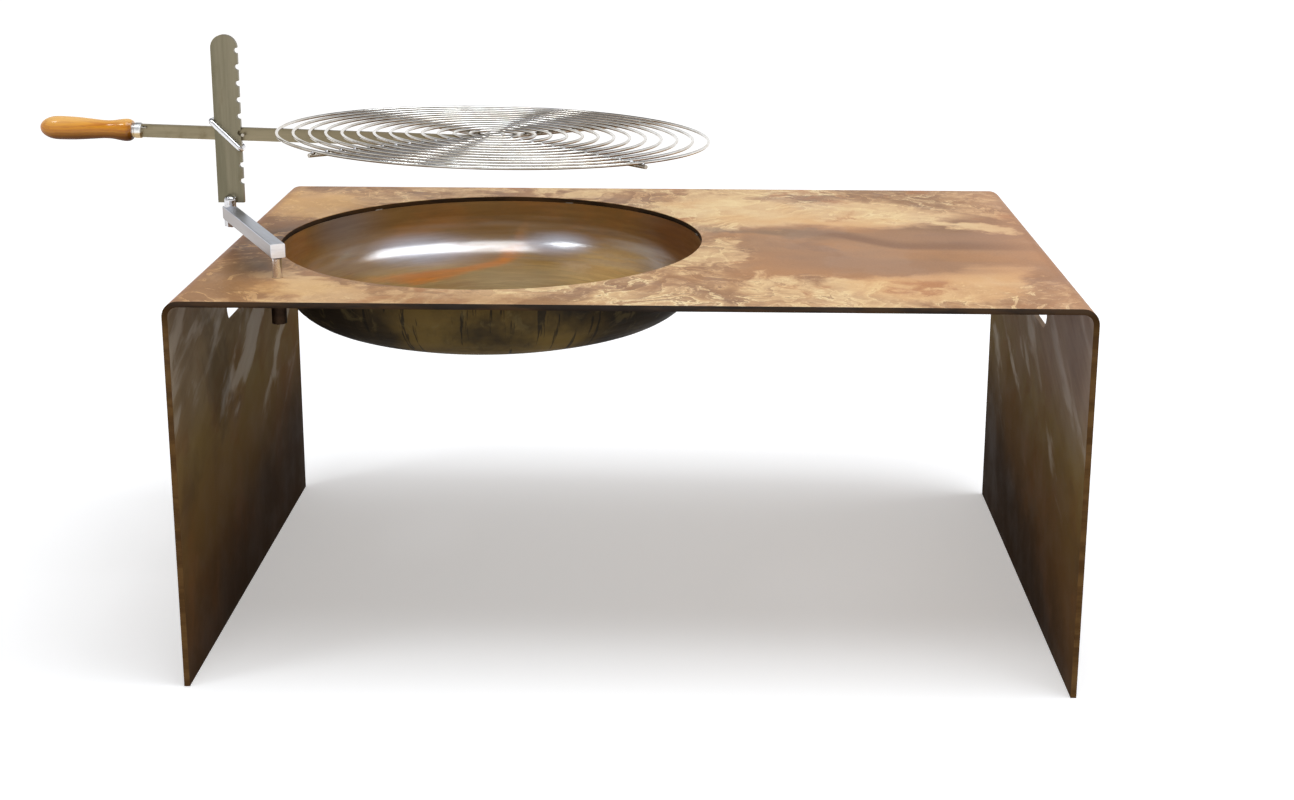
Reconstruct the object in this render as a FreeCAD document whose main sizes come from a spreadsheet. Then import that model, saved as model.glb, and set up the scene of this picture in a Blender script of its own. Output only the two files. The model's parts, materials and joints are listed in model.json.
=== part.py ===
"""Corten steel barbecue: a bent plate table with a fire bowl, and a grate on a swinging arm.

Lengths are millimetres. +X runs to the right along the table, +Y to its back, +Z up.
The origin is on the floor, in the middle of the whole barbecue.
"""
import FreeCAD, Part
import math
import os
import Sketcher

doc = FreeCAD.newDocument("barbecue")

QUARTER_TURN = math.pi / 2
# Two places count as the same when they differ by less than this share of the table's width.
SAME_PLACE_SHARE = 1e-7

# Driving dimensions, each written once, in groups that follow the pieces.
DRIVING = {
    # bent plate table
    "table_width": 1250,
    "table_depth": 800,
    "table_height": 560,
    "plate_thickness": 8,
    "bend_radius": 22,
    "fire_opening_radius": 322.5,
    "fire_from_left": 403,
    "hand_slot_length": 180,
    "hand_slot_height": 60,
    "hand_slot_depth": 88,
    "cut_overrun_length": 5,
    # fire bowl and the weld beads that hold it
    "bowl_crown_radius": 850,
    "bowl_knuckle_radius": 80,
    "bowl_rim_height": 24,
    "bowl_wall_thickness": 4,
    "bowl_ledge_width": 1.5,
    "bead_span_angle": 2.4,
    "bead_first_angle": 11,
    "bead_count": 6,
    "bead_gap": 0.05,
    # socket under the plate and the post that turns in it
    "post_from_left": 127,
    "post_from_front": 138,
    "post_radius": 7,
    "post_play": 0.05,
    "post_hole_play": 0.6,
    "post_chamfer": 1,
    "post_weld_leg": 2.5,
    "socket_wall_thickness": 3.5,
    "socket_length": 55,
    "socket_cap_thickness": 3,
    # square tube arm
    "arm_gap": 30,
    "arm_side_length": 20,
    "arm_wall_thickness": 2,
    "arm_corner_radius": 1.6,
    "arm_end_length": 10,
    "arm_cap_thickness": 3,
    # swivel stud, washer and nut at the far end of the arm
    "stud_head_radius": 9,
    "stud_head_height": 17.6,
    "stud_dome_share": 0.82,
    "stud_flat_offset": 7,
    "stud_shank_radius": 5,
    "stud_play": 0.05,
    "stud_tail": 1.5,
    "washer_radius": 10,
    "washer_thickness": 2,
    "nut_flats": 17,
    "nut_height": 8,
    # notched upright
    "upright_width": 40,
    "upright_thickness": 8,
    "upright_height": 257,
    "upright_foot_gap": 5,
    "notch_inset": 0.7,
    "notch_spacing": 25,
    "notch_count": 9,
    "first_notch_drop": 24,
    "rest_notch": 7,
    # lock ring that hangs the bar on the upright
    "ring_rod_radius": 4,
    "ring_bend_radius": 5,
    "ring_angle": 45,
    "ring_gap": 0.3,
    "ring_front_gap": 0.5,
    "ring_back_gap": 0.05,
    # flat bar under the grate
    "fire_from_upright": 400,
    "grate_reach": 405.5,
    "bar_height": 20,
    "bar_thickness": 6,
    "bar_tail": 134,
    "bar_gap": 0.3,
    "bar_setback": 10,
    "bar_sag_angle": 1.6,
    # guide pin through the bar, beside the notched edge
    "pin_radius": 2.5,
    "pin_play": 0.05,
    "pin_gap": 0.3,
    "pin_proud": 1,
    "pin_head_radius": 4.5,
    "pin_head_thickness": 2,
    "pin_head_gap": 0.1,
    # ferrule and wooden handle
    "ferrule_radius": 12,
    "ferrule_length": 10.5,
    "ferrule_edge": 0.8,
    "collar_share": 0.9,
    "collar_length": 3.6,
    "stub_radius": 1.8,
    "stub_length": 8,
    "stub_drop": 4.5,
    "tang_radius": 4,
    "tang_play": 0.05,
    "tang_margin": 30,
    "handle_radius": 18,
    "handle_length": 142,
    # grate of round wire rings on crossed rods
    "wire_radius": 2.5,
    "outer_ring_radius": 325.5,
    "inner_ring_radius": 13.5,
    "wire_count": 14,
    "rod_radius": 3,
    "rod_overhang": 6,
    "rod_angle": 45,
    "rod_gap": 0.05,
    "grate_lean_angle": 1.6,
}

# Sizes and places that follow from the driving ones. The handle's tip and the table's right
# edge are the two ends of the barbecue, so the table stands off centre by half of what hangs over.
DERIVED = {
    "inner_bend_radius": "sizes.bend_radius - sizes.plate_thickness",
    "plate_underside": "sizes.table_height - sizes.plate_thickness",
    "fire_local": "sizes.fire_from_left - sizes.table_width / 2",
    "upright_local": "fire_local - sizes.fire_from_upright",
    "pin_from_upright": "sizes.upright_width / 2 + sizes.pin_gap + sizes.pin_radius",
    "tail_from_pin": "pin_from_upright + sizes.bar_tail",
    "handle_from_pin": "tail_from_pin + sizes.ferrule_length + sizes.collar_length",
    "tip_reach": "(handle_from_pin + sizes.handle_length) * cos(sizes.bar_sag_angle * 1 deg)",
    "tip_local": "upright_local + pin_from_upright - tip_reach",
    "table_centre": "-(min(tip_local; -sizes.table_width / 2) + sizes.table_width / 2) / 2",
    "fire_centre": "table_centre + fire_local",
    "upright_centre": "table_centre + upright_local",
    "slot_centre_height": "sizes.table_height - sizes.hand_slot_depth",
    # bowl: a dished end whose inner rim stands a ledge inside the opening
    "bowl_rim_radius": "sizes.fire_opening_radius - sizes.bowl_ledge_width",
    "bowl_knuckle_centre": "bowl_rim_radius + sizes.bowl_wall_thickness - sizes.bowl_knuckle_radius",
    "crown_over_knuckle": "sqrt((sizes.bowl_crown_radius - sizes.bowl_knuckle_radius) ^ 2"
                          " - bowl_knuckle_centre ^ 2)",
    "bowl_crown_centre": "crown_over_knuckle - sizes.bowl_rim_height",
    "bead_leg": "sizes.bowl_ledge_width - 2 * sizes.bead_gap",
    # socket, post and arm
    "post_across": "table_centre - sizes.table_width / 2 + sizes.post_from_left",
    "post_back": "sizes.post_from_front - sizes.table_depth / 2",
    "socket_bore_radius": "sizes.post_radius + sizes.post_play",
    "socket_radius": "socket_bore_radius + sizes.socket_wall_thickness",
    "socket_foot": "plate_underside - sizes.socket_length",
    "arm_underside": "sizes.table_height + sizes.arm_gap",
    "arm_top": "arm_underside + sizes.arm_side_length",
    "post_length": "arm_underside - socket_foot",
    "stud_dome_radius": "sizes.stud_head_radius * sizes.stud_dome_share",
    # upright, stacked in depth in front of the bar, whose middle plane is the table's own
    "upright_back": "-sizes.bar_thickness / 2 - sizes.bar_gap",
    "upright_front": "upright_back - sizes.upright_thickness",
    "swivel_back": "upright_front - sizes.stud_flat_offset",
    "upright_foot": "arm_top + sizes.upright_foot_gap",
    "upright_top": "upright_foot + sizes.upright_height",
    "first_notch": "upright_top - sizes.first_notch_drop",
    "lock_notch": "first_notch - (sizes.rest_notch - 1) * sizes.notch_spacing",
    "notch_across": "sizes.upright_width / 2 - sizes.notch_inset",
    # arm, from the post's axis to the swivel's axis
    "arm_step_across": "upright_centre - post_across",
    "arm_step_back": "swivel_back - post_back",
    "arm_length": "sqrt(arm_step_across ^ 2 + arm_step_back ^ 2)",
    "arm_turn": "atan2(-arm_step_across; arm_step_back)",
    "arm_tube_length": "arm_length + 2 * sizes.arm_end_length - 2 * sizes.arm_cap_thickness",
    "notch_radius": "sizes.ring_rod_radius + sizes.ring_gap",
    # lock ring: its right end sits in a notch, its left end bears on the plain edge
    "ring_span": "notch_across + sizes.upright_width / 2 + sizes.ring_gap"
                 " + sizes.ring_rod_radius",
    "ring_rise": "ring_span * tan(sizes.ring_angle * 1 deg)",
    "ring_length": "ring_span / cos(sizes.ring_angle * 1 deg)",
    "ring_front": "upright_front - sizes.ring_front_gap - sizes.ring_rod_radius",
    "ring_back": "sizes.bar_thickness / 2 + sizes.ring_back_gap + sizes.ring_rod_radius",
    "ring_depth": "ring_back - ring_front",
    "ring_centre": "upright_centre + notch_across - ring_span / 2",
    "bar_middle": "lock_notch + ring_rise / 2",
    # guide pin
    "pin_centre": "upright_centre + pin_from_upright",
    "pin_front": "upright_front - sizes.pin_proud",
    "pin_back": "sizes.bar_thickness / 2 + sizes.pin_head_gap",
    # ferrule, and the grate on top of the bar, measured from the guide pin along the bar
    "collar_radius": "sizes.ferrule_radius * sizes.collar_share",
    "grate_from_pin": "sizes.grate_reach - pin_from_upright",
    "lean_lift": "sizes.bar_thickness / 2 * tan(sizes.grate_lean_angle * 1 deg)",
    "grate_seat": "sizes.bar_height / 2 + lean_lift",
    "wire_spacing": "(sizes.outer_ring_radius - sizes.inner_ring_radius)"
                    " / (sizes.wire_count - 1)",
    "rod_reach": "sizes.outer_ring_radius + sizes.wire_radius + sizes.rod_overhang",
}

# The turned profile of the handle, as shares of its length from the collar and of its radius.
# It ends at the belly, where the round nose begins.
HANDLE_PROFILE_SHARES = [
    (0.00, 0.78), (0.03, 0.92), (0.08, 0.955), (0.15, 0.88), (0.215, 0.80), (0.285, 0.775),
    (0.36, 0.81), (0.46, 0.88), (0.56, 0.945), (0.66, 0.985), (0.74, 1.00), (0.80, 1.00),
]
NOSE_STEPS = 6


def fill_sheet(name, cells):
    """A spreadsheet with a word and its value or formula in each row."""
    sheet = doc.addObject("Spreadsheet::Sheet", name)
    for row, (alias, content) in enumerate(cells.items(), 1):
        sheet.set(f"A{row}", alias)
        sheet.set(f"B{row}", content)
        sheet.setAlias(f"B{row}", alias)
    doc.recompute()
    return sheet


sizes = fill_sheet("sizes", {alias: str(number) for alias, number in DRIVING.items()})
places = fill_sheet("places", {alias: "=" + formula for alias, formula in DERIVED.items()})

nodes = {}


def value_of(expression):
    """The number that an expression over the two sheets gives."""
    result = sizes.evalExpression(expression)
    return float(getattr(result, "Value", result))


def bind(thing, **expressions):
    """Tie properties to expressions; a double underscore stands for a dot in the property's path."""
    for path, expression in expressions.items():
        thing.setExpression(path.replace("__", "."), expression)


def keep(name, thing):
    """Name a finished piece, so that it is written out under that name."""
    thing.Label = name
    nodes[name] = thing
    return thing


def place(thing, across="0", back="0", height="0"):
    """Put a piece where three expressions say, and hand it back."""
    bind(thing, Placement__Base__x=across, Placement__Base__y=back, Placement__Base__z=height)
    return thing


def frame_at(across, back, height, axis, turn):
    """A placement, as an expression: moved to a point, and turned about an axis through it."""
    return (f"placement(vector({across}; {back}; {height});"
            f" rotation(vector({axis}); {turn}))")


# The sagging bar's own frame, centred on the guide pin, and the leaning grate's frame on its top.
BAR_FRAME = frame_at("places.pin_centre", "0", "places.bar_middle", "0; 1; 0", "sizes.bar_sag_angle")
GRATE_FRAME = BAR_FRAME + " * " + frame_at("places.grate_from_pin", "0", "places.grate_seat",
                                           "1; 0; 0", "-sizes.grate_lean_angle")


def hang(thing, frame, along="0", back="0", up="0", turn="0"):
    """Put a piece in the frame of the bar or the grate, turned about that frame's own height."""
    bind(thing, Placement=f"{frame} * {frame_at(along, back, up, '0; 0; 1', turn)}")
    return thing


def new_body(name):
    return keep(name, doc.addObject("PartDesign::Body", name))


def origin_plane(body, role):
    return next(plane for plane in body.Origin.OriginFeatures if plane.Role == role)


def new_sketch(body, role, name):
    """A sketch on one of the body's own origin planes."""
    sketch = body.newObject("Sketcher::SketchObject", name)
    sketch.AttachmentSupport = [(origin_plane(body, role), "")]
    sketch.MapMode = "FlatFace"
    return sketch


def dimension(sketch, kind, *where, expression):
    """A dimension of a sketch that follows an expression."""
    index = sketch.addConstraint(Sketcher.Constraint(kind, *where, value_of(expression)))
    sketch.setExpression(f"Constraints[{index}]", expression)


def fix_point(sketch, curve, end, across, up):
    """Hold a point of a curve at two expressions, or on an axis where one is zero."""
    if across == "0":
        sketch.addConstraint(Sketcher.Constraint("PointOnObject", curve, end, -2))
    elif across:
        dimension(sketch, "DistanceX", -1, 1, curve, end, expression=across)
    if up == "0":
        sketch.addConstraint(Sketcher.Constraint("PointOnObject", curve, end, -1))
    elif up:
        dimension(sketch, "DistanceY", -1, 1, curve, end, expression=up)


def point_at(across, up):
    return FreeCAD.Vector(value_of(across), value_of(up), 0)


def draw_outline(sketch, corners):
    """A closed outline of straight lines through corners given as pairs of expressions."""
    first = sketch.GeometryCount
    count = len(corners)
    for index, corner in enumerate(corners):
        line = Part.LineSegment(point_at(*corner), point_at(*corners[(index + 1) % count]))
        sketch.addGeometry(line)
    for index, corner in enumerate(corners):
        before = first + (index - 1) % count
        sketch.addConstraint(Sketcher.Constraint("Coincident", before, 2, first + index, 1))
        fix_point(sketch, first + index, 1, *corner)


def draw_box(sketch, left, right, low, high):
    draw_outline(sketch, [(left, low), (right, low), (right, high), (left, high)])


def draw_circle(sketch, across, up, radius):
    circle = Part.Circle(point_at(across, up), FreeCAD.Vector(0, 0, 1), value_of(radius))
    curve = sketch.addGeometry(circle)
    fix_point(sketch, curve, 3, across, up)
    dimension(sketch, "Radius", curve, expression=radius)


def add_feature(body, kind, name, sketch, **settings):
    """A feature of a body made from a sketch, with plain settings."""
    feature = body.newObject(kind, name)
    feature.Profile = sketch
    for setting, content in settings.items():
        setattr(feature, setting, content)
    return feature


def pad(body, name, sketch, length, **settings):
    feature = add_feature(body, "PartDesign::Pad", name, sketch, **settings)
    bind(feature, Length=length)
    doc.recompute()
    return feature


def cut_through(body, name, sketch, side="Symmetric", reverse=False):
    """A pocket through everything, checked to take material away."""
    before = body.Shape.Volume
    pocket = add_feature(body, "PartDesign::Pocket", name, sketch, Type="ThroughAll",
                         SideType=side, Reversed=reverse)
    doc.recompute()
    if not body.Shape.Volume < before:
        raise ValueError(name + " cuts nothing")
    return pocket


def edges_where(feature, test):
    """Names of the edges of a feature whose middle point and direction pass a test."""
    found = []
    for index, edge in enumerate(feature.Shape.Edges, 1):
        middle = edge.valueAt((edge.FirstParameter + edge.LastParameter) / 2)
        along = edge.tangentAt((edge.FirstParameter + edge.LastParameter) / 2)
        if test(middle, along):
            found.append(f"Edge{index}")
    return found


def dress(body, kind, name, base, test, **expressions):
    """A fillet or chamfer on the edges of a feature that pass a test."""
    feature = body.newObject("PartDesign::" + kind, name)
    feature.Base = (base, edges_where(base, test))
    bind(feature, **expressions)
    doc.recompute()
    return feature


def near(first, second):
    return abs(first - second) < SAME_PLACE_SHARE * value_of("sizes.table_width")


def lies_back(along):
    return math.isclose(abs(along.y), 1, rel_tol=SAME_PLACE_SHARE)


def round_bar(name, radius, length, **where):
    """A plain round bar that stands on its foot."""
    body = new_body(name)
    outline = new_sketch(body, "XY_Plane", name + "_outline")
    draw_circle(outline, "0", "0", radius)
    pad(body, name + "_pad", outline, length)
    place(body, **where)
    return body


def lying_bar(name, radius, length):
    """A plain round bar that lies along its own +X."""
    body = new_body(name)
    outline = new_sketch(body, "YZ_Plane", name + "_outline")
    draw_circle(outline, "0", "0", radius)
    pad(body, name + "_pad", outline, length)
    return body


def turned_ring(name, outer, inner, length, **where):
    """A tube or washer that stands on its foot."""
    body = new_body(name)
    outline = new_sketch(body, "XY_Plane", name + "_outline")
    draw_circle(outline, "0", "0", outer)
    draw_circle(outline, "0", "0", inner)
    pad(body, name + "_pad", outline, length)
    place(body, **where)
    return body


def make_table():
    """One wide plate bent down into two legs, with a fire opening, a post hole and hand slots."""
    body = new_body("table_shell")
    half = "sizes.table_width / 2"
    inner_half = f"{half} - sizes.plate_thickness"

    block = new_sketch(body, "XZ_Plane", "table_block")
    draw_box(block, f"-({half})", half, "0", "sizes.table_height")
    solid = pad(body, "table_pad", block, "sizes.table_depth", SideType="Symmetric")

    top = value_of("sizes.table_height")
    solid = dress(body, "Fillet", "outer_bends", solid,
                  lambda middle, along: lies_back(along) and near(middle.z, top),
                  Radius="sizes.bend_radius")

    hollow = new_sketch(body, "XZ_Plane", "table_hollow")
    draw_box(hollow, f"-({inner_half})", inner_half, "-sizes.cut_overrun_length", "places.plate_underside")
    solid = cut_through(body, "under_table", hollow)

    underside = value_of("places.plate_underside")
    dress(body, "Fillet", "inner_bends", solid,
          lambda middle, along: lies_back(along) and near(middle.z, underside),
          Radius="places.inner_bend_radius")

    opening = new_sketch(body, "XY_Plane", "fire_opening")
    draw_circle(opening, "places.fire_local", "0", "sizes.fire_opening_radius")
    draw_circle(opening, "sizes.post_from_left - sizes.table_width / 2", "places.post_back",
                "sizes.post_radius + sizes.post_hole_play")
    cut_through(body, "top_openings", opening)

    slot = new_sketch(body, "YZ_Plane", "hand_slot")
    draw_slot(slot, "sizes.hand_slot_length", "sizes.hand_slot_height", "places.slot_centre_height")
    cut_through(body, "hand_slots", slot)
    place(body, across="places.table_centre")


def draw_slot(sketch, length, height, centre_height):
    """A round ended slot, centred on the upright axis of the sketch."""
    radius = f"{height} / 2"
    reach = f"({length} - {height}) / 2"
    middle = value_of(centre_height)
    size = value_of(radius)
    end = value_of(reach)
    low = middle - size
    high = middle + size
    vector = FreeCAD.Vector
    bottom = sketch.addGeometry(Part.LineSegment(vector(-end, low, 0), vector(end, low, 0)))
    right = sketch.addGeometry(Part.ArcOfCircle(
        Part.Circle(vector(end, middle, 0), vector(0, 0, 1), size), -QUARTER_TURN, QUARTER_TURN))
    top = sketch.addGeometry(Part.LineSegment(vector(end, high, 0), vector(-end, high, 0)))
    left = sketch.addGeometry(Part.ArcOfCircle(
        Part.Circle(vector(-end, middle, 0), vector(0, 0, 1), size), QUARTER_TURN, 3 * QUARTER_TURN))
    for line, line_end, arc, arc_end in ((bottom, 2, right, 1), (top, 1, right, 2),
                                         (top, 2, left, 1), (bottom, 1, left, 2)):
        sketch.addConstraint(Sketcher.Constraint("Tangent", line, line_end, arc, arc_end))
    sketch.addConstraint(Sketcher.Constraint("Horizontal", bottom))
    fix_point(sketch, right, 3, reach, centre_height)
    fix_point(sketch, left, 3, f"-({reach})", None)
    dimension(sketch, "Radius", right, expression=radius)


def make_bowl():
    """A dished bowl: a flat crown, a tight knuckle and a short upright rim against the plate."""
    body = new_body("fire_bowl")
    profile = new_sketch(body, "XZ_Plane", "bowl_profile")
    crown_at = ("0", "places.bowl_crown_centre")
    knuckle_at = ("places.bowl_knuckle_centre", "-sizes.bowl_rim_height")
    seam = point_at(*knuckle_at) - point_at(*crown_at)
    seam_turn = math.atan2(seam.y, seam.x)
    skins = []
    for wall in ("0", "sizes.bowl_wall_thickness"):
        crown_radius = value_of(f"sizes.bowl_crown_radius - {wall}")
        knuckle_radius = f"sizes.bowl_knuckle_radius - {wall}"
        crown = sketch_arc(profile, point_at(*crown_at), crown_radius, -QUARTER_TURN, seam_turn)
        knuckle = sketch_arc(profile, point_at(*knuckle_at), value_of(knuckle_radius), seam_turn, 0)
        rim_foot = profile.getPoint(knuckle, 2)
        rim_top = FreeCAD.Vector(rim_foot.x, 0, 0)
        rim = profile.addGeometry(Part.LineSegment(rim_foot, rim_top))
        fix_point(profile, crown, 3, *crown_at)
        fix_point(profile, crown, 1, "0", None)
        fix_point(profile, knuckle, 3, *knuckle_at)
        dimension(profile, "Radius", knuckle, expression=knuckle_radius)
        for first, second in ((crown, knuckle), (knuckle, rim)):
            profile.addConstraint(Sketcher.Constraint("Tangent", first, 2, second, 1))
        profile.addConstraint(Sketcher.Constraint("Vertical", rim))
        fix_point(profile, rim, 2, None, "0")
        skins.append((crown, rim))
    (outer_crown, outer_rim), (inner_crown, inner_rim) = skins
    join_line(profile, outer_crown, 1, inner_crown, 1)
    join_line(profile, outer_rim, 2, inner_rim, 2)
    spin(body, "bowl_revolution", profile, "V_Axis")
    place(body, "places.fire_centre", "0", "places.plate_underside")


def sketch_arc(sketch, centre, radius, start, stop):
    circle = Part.Circle(centre, FreeCAD.Vector(0, 0, 1), radius)
    return sketch.addGeometry(Part.ArcOfCircle(circle, start, stop))


def join_line(sketch, first, first_end, second, second_end):
    """A straight line from the end of one curve to the end of another."""
    start = sketch.getPoint(first, first_end)
    stop = sketch.getPoint(second, second_end)
    line = sketch.addGeometry(Part.LineSegment(start, stop))
    sketch.addConstraint(Sketcher.Constraint("Coincident", line, 1, first, first_end))
    sketch.addConstraint(Sketcher.Constraint("Coincident", line, 2, second, second_end))


def spin(body, name, sketch, axis, angle=None):
    """Turn a sketch about one of its axes, right round or over an angle."""
    feature = add_feature(body, "PartDesign::Revolution", name, sketch, ReferenceAxis=(sketch, [axis]))
    if angle:
        bind(feature, Angle=angle)
    doc.recompute()
    return feature


def make_beads():
    """Short weld beads in the corner between the bowl's ledge and the plate's opening."""
    outer = "sizes.fire_opening_radius - sizes.bead_gap"
    inner = f"{outer} - places.bead_leg"
    for number in range(int(value_of("sizes.bead_count"))):
        name = f"rim_weld_{number + 1}"
        body = new_body(name)
        corner = new_sketch(body, "XZ_Plane", name + "_corner")
        draw_outline(corner, [(inner, "sizes.bead_gap"), (outer, "sizes.bead_gap"),
                              (outer, "sizes.bead_gap + places.bead_leg")])
        spin(body, name + "_sweep", corner, "V_Axis", "sizes.bead_span_angle")
        turn = f"sizes.bead_first_angle + {number} * 360 / sizes.bead_count"
        bind(body, Placement__Rotation__Angle=turn)
        place(body, "places.fire_centre", "0", "places.plate_underside")


def make_post():
    """A closed socket under the plate and the round post that drops into it."""
    where = {"across": "places.post_across", "back": "places.post_back"}
    turned_ring("post_socket", "places.socket_radius", "places.socket_bore_radius",
                "sizes.socket_length", height="places.socket_foot", **where)
    round_bar("socket_cap", "places.socket_radius", "sizes.socket_cap_thickness",
              height="places.socket_foot - sizes.socket_cap_thickness", **where)
    post = round_bar("swing_post", "sizes.post_radius", "places.post_length",
                     height="places.socket_foot", **where)
    dress(post, "Chamfer", "post_foot", post.Tip,
          lambda middle, along: near(middle.z, 0), Size="sizes.post_chamfer")

    bead = new_body("post_weld")
    corner = new_sketch(bead, "XZ_Plane", "post_weld_corner")
    inner = "sizes.post_radius + sizes.bead_gap"
    draw_outline(corner, [(inner, "-sizes.bead_gap"), (inner, "-sizes.bead_gap - sizes.post_weld_leg"),
                          (f"{inner} + sizes.post_weld_leg", "-sizes.bead_gap")])
    spin(bead, "post_weld_sweep", corner, "V_Axis")
    place(bead, height="places.arm_underside", **where)


def square_section(body, name, side, length):
    """A square bar with rounded long edges that lies along its own +Y."""
    half = f"{side} / 2"
    section = new_sketch(body, "XZ_Plane", name)
    draw_box(section, f"-({half})", half, f"-({half})", half)
    bar = pad(body, name + "_pad", section, length, Reversed=True)
    return dress(body, "Fillet", name + "_corners", bar,
                 lambda middle, along: lies_back(along), Radius="sizes.arm_corner_radius")


def put_on_arm(body, along):
    """Place a body along the arm, at a distance from the post's axis."""
    turn = "places.arm_turn"
    bind(body, Placement__Rotation__Angle=turn)
    place(body, f"places.post_across - ({along}) * sin({turn})",
          f"places.post_back + ({along}) * cos({turn})",
          "places.arm_underside + sizes.arm_side_length / 2")


def make_arm():
    """A square tube with a closed end at the post and at the swivel."""
    tube_start = "sizes.arm_cap_thickness - sizes.arm_end_length"
    body = new_body("swing_arm")
    square_section(body, "arm_section", "sizes.arm_side_length", "places.arm_tube_length")
    bore = new_sketch(body, "XZ_Plane", "arm_bore")
    inner = "sizes.arm_side_length / 2 - sizes.arm_wall_thickness"
    draw_box(bore, f"-({inner})", inner, f"-({inner})", inner)
    cut_through(body, "arm_hollow", bore)
    stud_hole = new_sketch(body, "XY_Plane", "arm_stud_hole")
    draw_circle(stud_hole, "0", f"places.arm_length - ({tube_start})",
                "sizes.stud_shank_radius + sizes.stud_play")
    cut_through(body, "arm_swivel_hole", stud_hole)
    put_on_arm(body, tube_start)

    for name, along in (("arm_front_cap", "-sizes.arm_end_length"),
                        ("arm_back_cap", f"{tube_start} + places.arm_tube_length")):
        cap = new_body(name)
        square_section(cap, name + "_section", "sizes.arm_side_length", "sizes.arm_cap_thickness")
        put_on_arm(cap, along)


def make_swivel():
    """A domed stud through the arm, with its washer and nut underneath."""
    where = {"across": "places.upright_centre", "back": "places.swivel_back"}
    body = new_body("swivel_stud")
    head = new_sketch(body, "XY_Plane", "stud_head")
    draw_circle(head, "0", "0", "sizes.stud_head_radius")
    dome = pad(body, "stud_head_pad", head, "sizes.stud_head_height")
    top = value_of("sizes.stud_head_height")
    dress(body, "Fillet", "stud_dome", dome,
          lambda middle, along: near(middle.z, top), Radius="places.stud_dome_radius")
    shank = new_sketch(body, "XY_Plane", "stud_shank")
    draw_circle(shank, "0", "0", "sizes.stud_shank_radius")
    pad(body, "stud_shank_pad", shank,
        "sizes.arm_side_length + sizes.washer_thickness + sizes.nut_height + sizes.stud_tail",
        Reversed=True)
    flat = new_sketch(body, "YZ_Plane", "stud_flat")
    draw_box(flat, "sizes.stud_flat_offset", "sizes.stud_head_radius + sizes.cut_overrun_length",
             "0", "sizes.stud_head_height + sizes.cut_overrun_length")
    cut_through(body, "stud_back_flat", flat)
    place(body, height="places.arm_top", **where)

    turned_ring("swivel_washer", "sizes.washer_radius", "sizes.stud_shank_radius + sizes.stud_play",
                "sizes.washer_thickness",
                height="places.arm_underside - sizes.washer_thickness", **where)

    nut = new_body("swivel_nut")
    hexagon = new_sketch(nut, "XY_Plane", "nut_hexagon")
    corner = "sizes.nut_flats / 2 / cos(30 deg)"
    draw_outline(hexagon, [(f"{corner} * cos({turn} deg)", f"{corner} * sin({turn} deg)")
                           for turn in range(15, 375, 60)])
    draw_circle(hexagon, "0", "0", "sizes.stud_shank_radius + sizes.stud_play")
    pad(nut, "nut_pad", hexagon, "sizes.nut_height")
    place(nut, height="places.arm_underside - sizes.washer_thickness - sizes.nut_height", **where)


def make_upright():
    """A flat bar with a round top and a row of notches down its right edge."""
    body = new_body("upright_bar")
    half = "sizes.upright_width / 2"
    outline = new_sketch(body, "XZ_Plane", "upright_outline")
    draw_box(outline, f"-({half})", half, "0", f"sizes.upright_height - {half}")
    pad(body, "upright_pad", outline, "sizes.upright_thickness")
    top = new_sketch(body, "XZ_Plane", "upright_round_top")
    draw_circle(top, "0", f"sizes.upright_height - {half}", half)
    pad(body, "upright_top_pad", top, "sizes.upright_thickness")
    notch = new_sketch(body, "XZ_Plane", "upright_notch")
    draw_circle(notch, "places.notch_across", "places.first_notch - places.upright_foot",
                "places.notch_radius")
    first = cut_through(body, "first_notch", notch)
    row = body.newObject("PartDesign::LinearPattern", "notch_row")
    row.Originals = [first]
    row.Direction = (notch, ["V_Axis"])
    row.Reversed = True
    bind(row, Length="sizes.notch_spacing * (sizes.notch_count - 1)", Occurrences="sizes.notch_count")
    body.Tip = row
    doc.recompute()
    place(body, "places.upright_centre", "places.upright_back", "places.upright_foot")


def make_lock_ring():
    """A round rod bent into a long ring that goes round the upright and the bar on the slant."""
    body = new_body("lock_ring")
    body.Placement.Rotation = FreeCAD.Rotation(FreeCAD.Vector(0, 1, 0), value_of("sizes.ring_angle"))
    bind(body, Placement__Rotation__Angle="sizes.ring_angle")
    path = new_sketch(body, "XY_Plane", "ring_path")
    draw_rounded_loop(path, "places.ring_length", "places.ring_depth", "sizes.ring_bend_radius")
    section = new_sketch(body, "YZ_Plane", "ring_section")
    draw_circle(section, "-places.ring_depth / 2", "0", "sizes.ring_rod_radius")
    pipe = body.newObject("PartDesign::AdditivePipe", "ring_pipe")
    pipe.Profile = section
    pipe.Spine = path
    doc.recompute()
    place(body, "places.ring_centre", "(places.ring_front + places.ring_back) / 2",
          "places.bar_middle")


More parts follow.
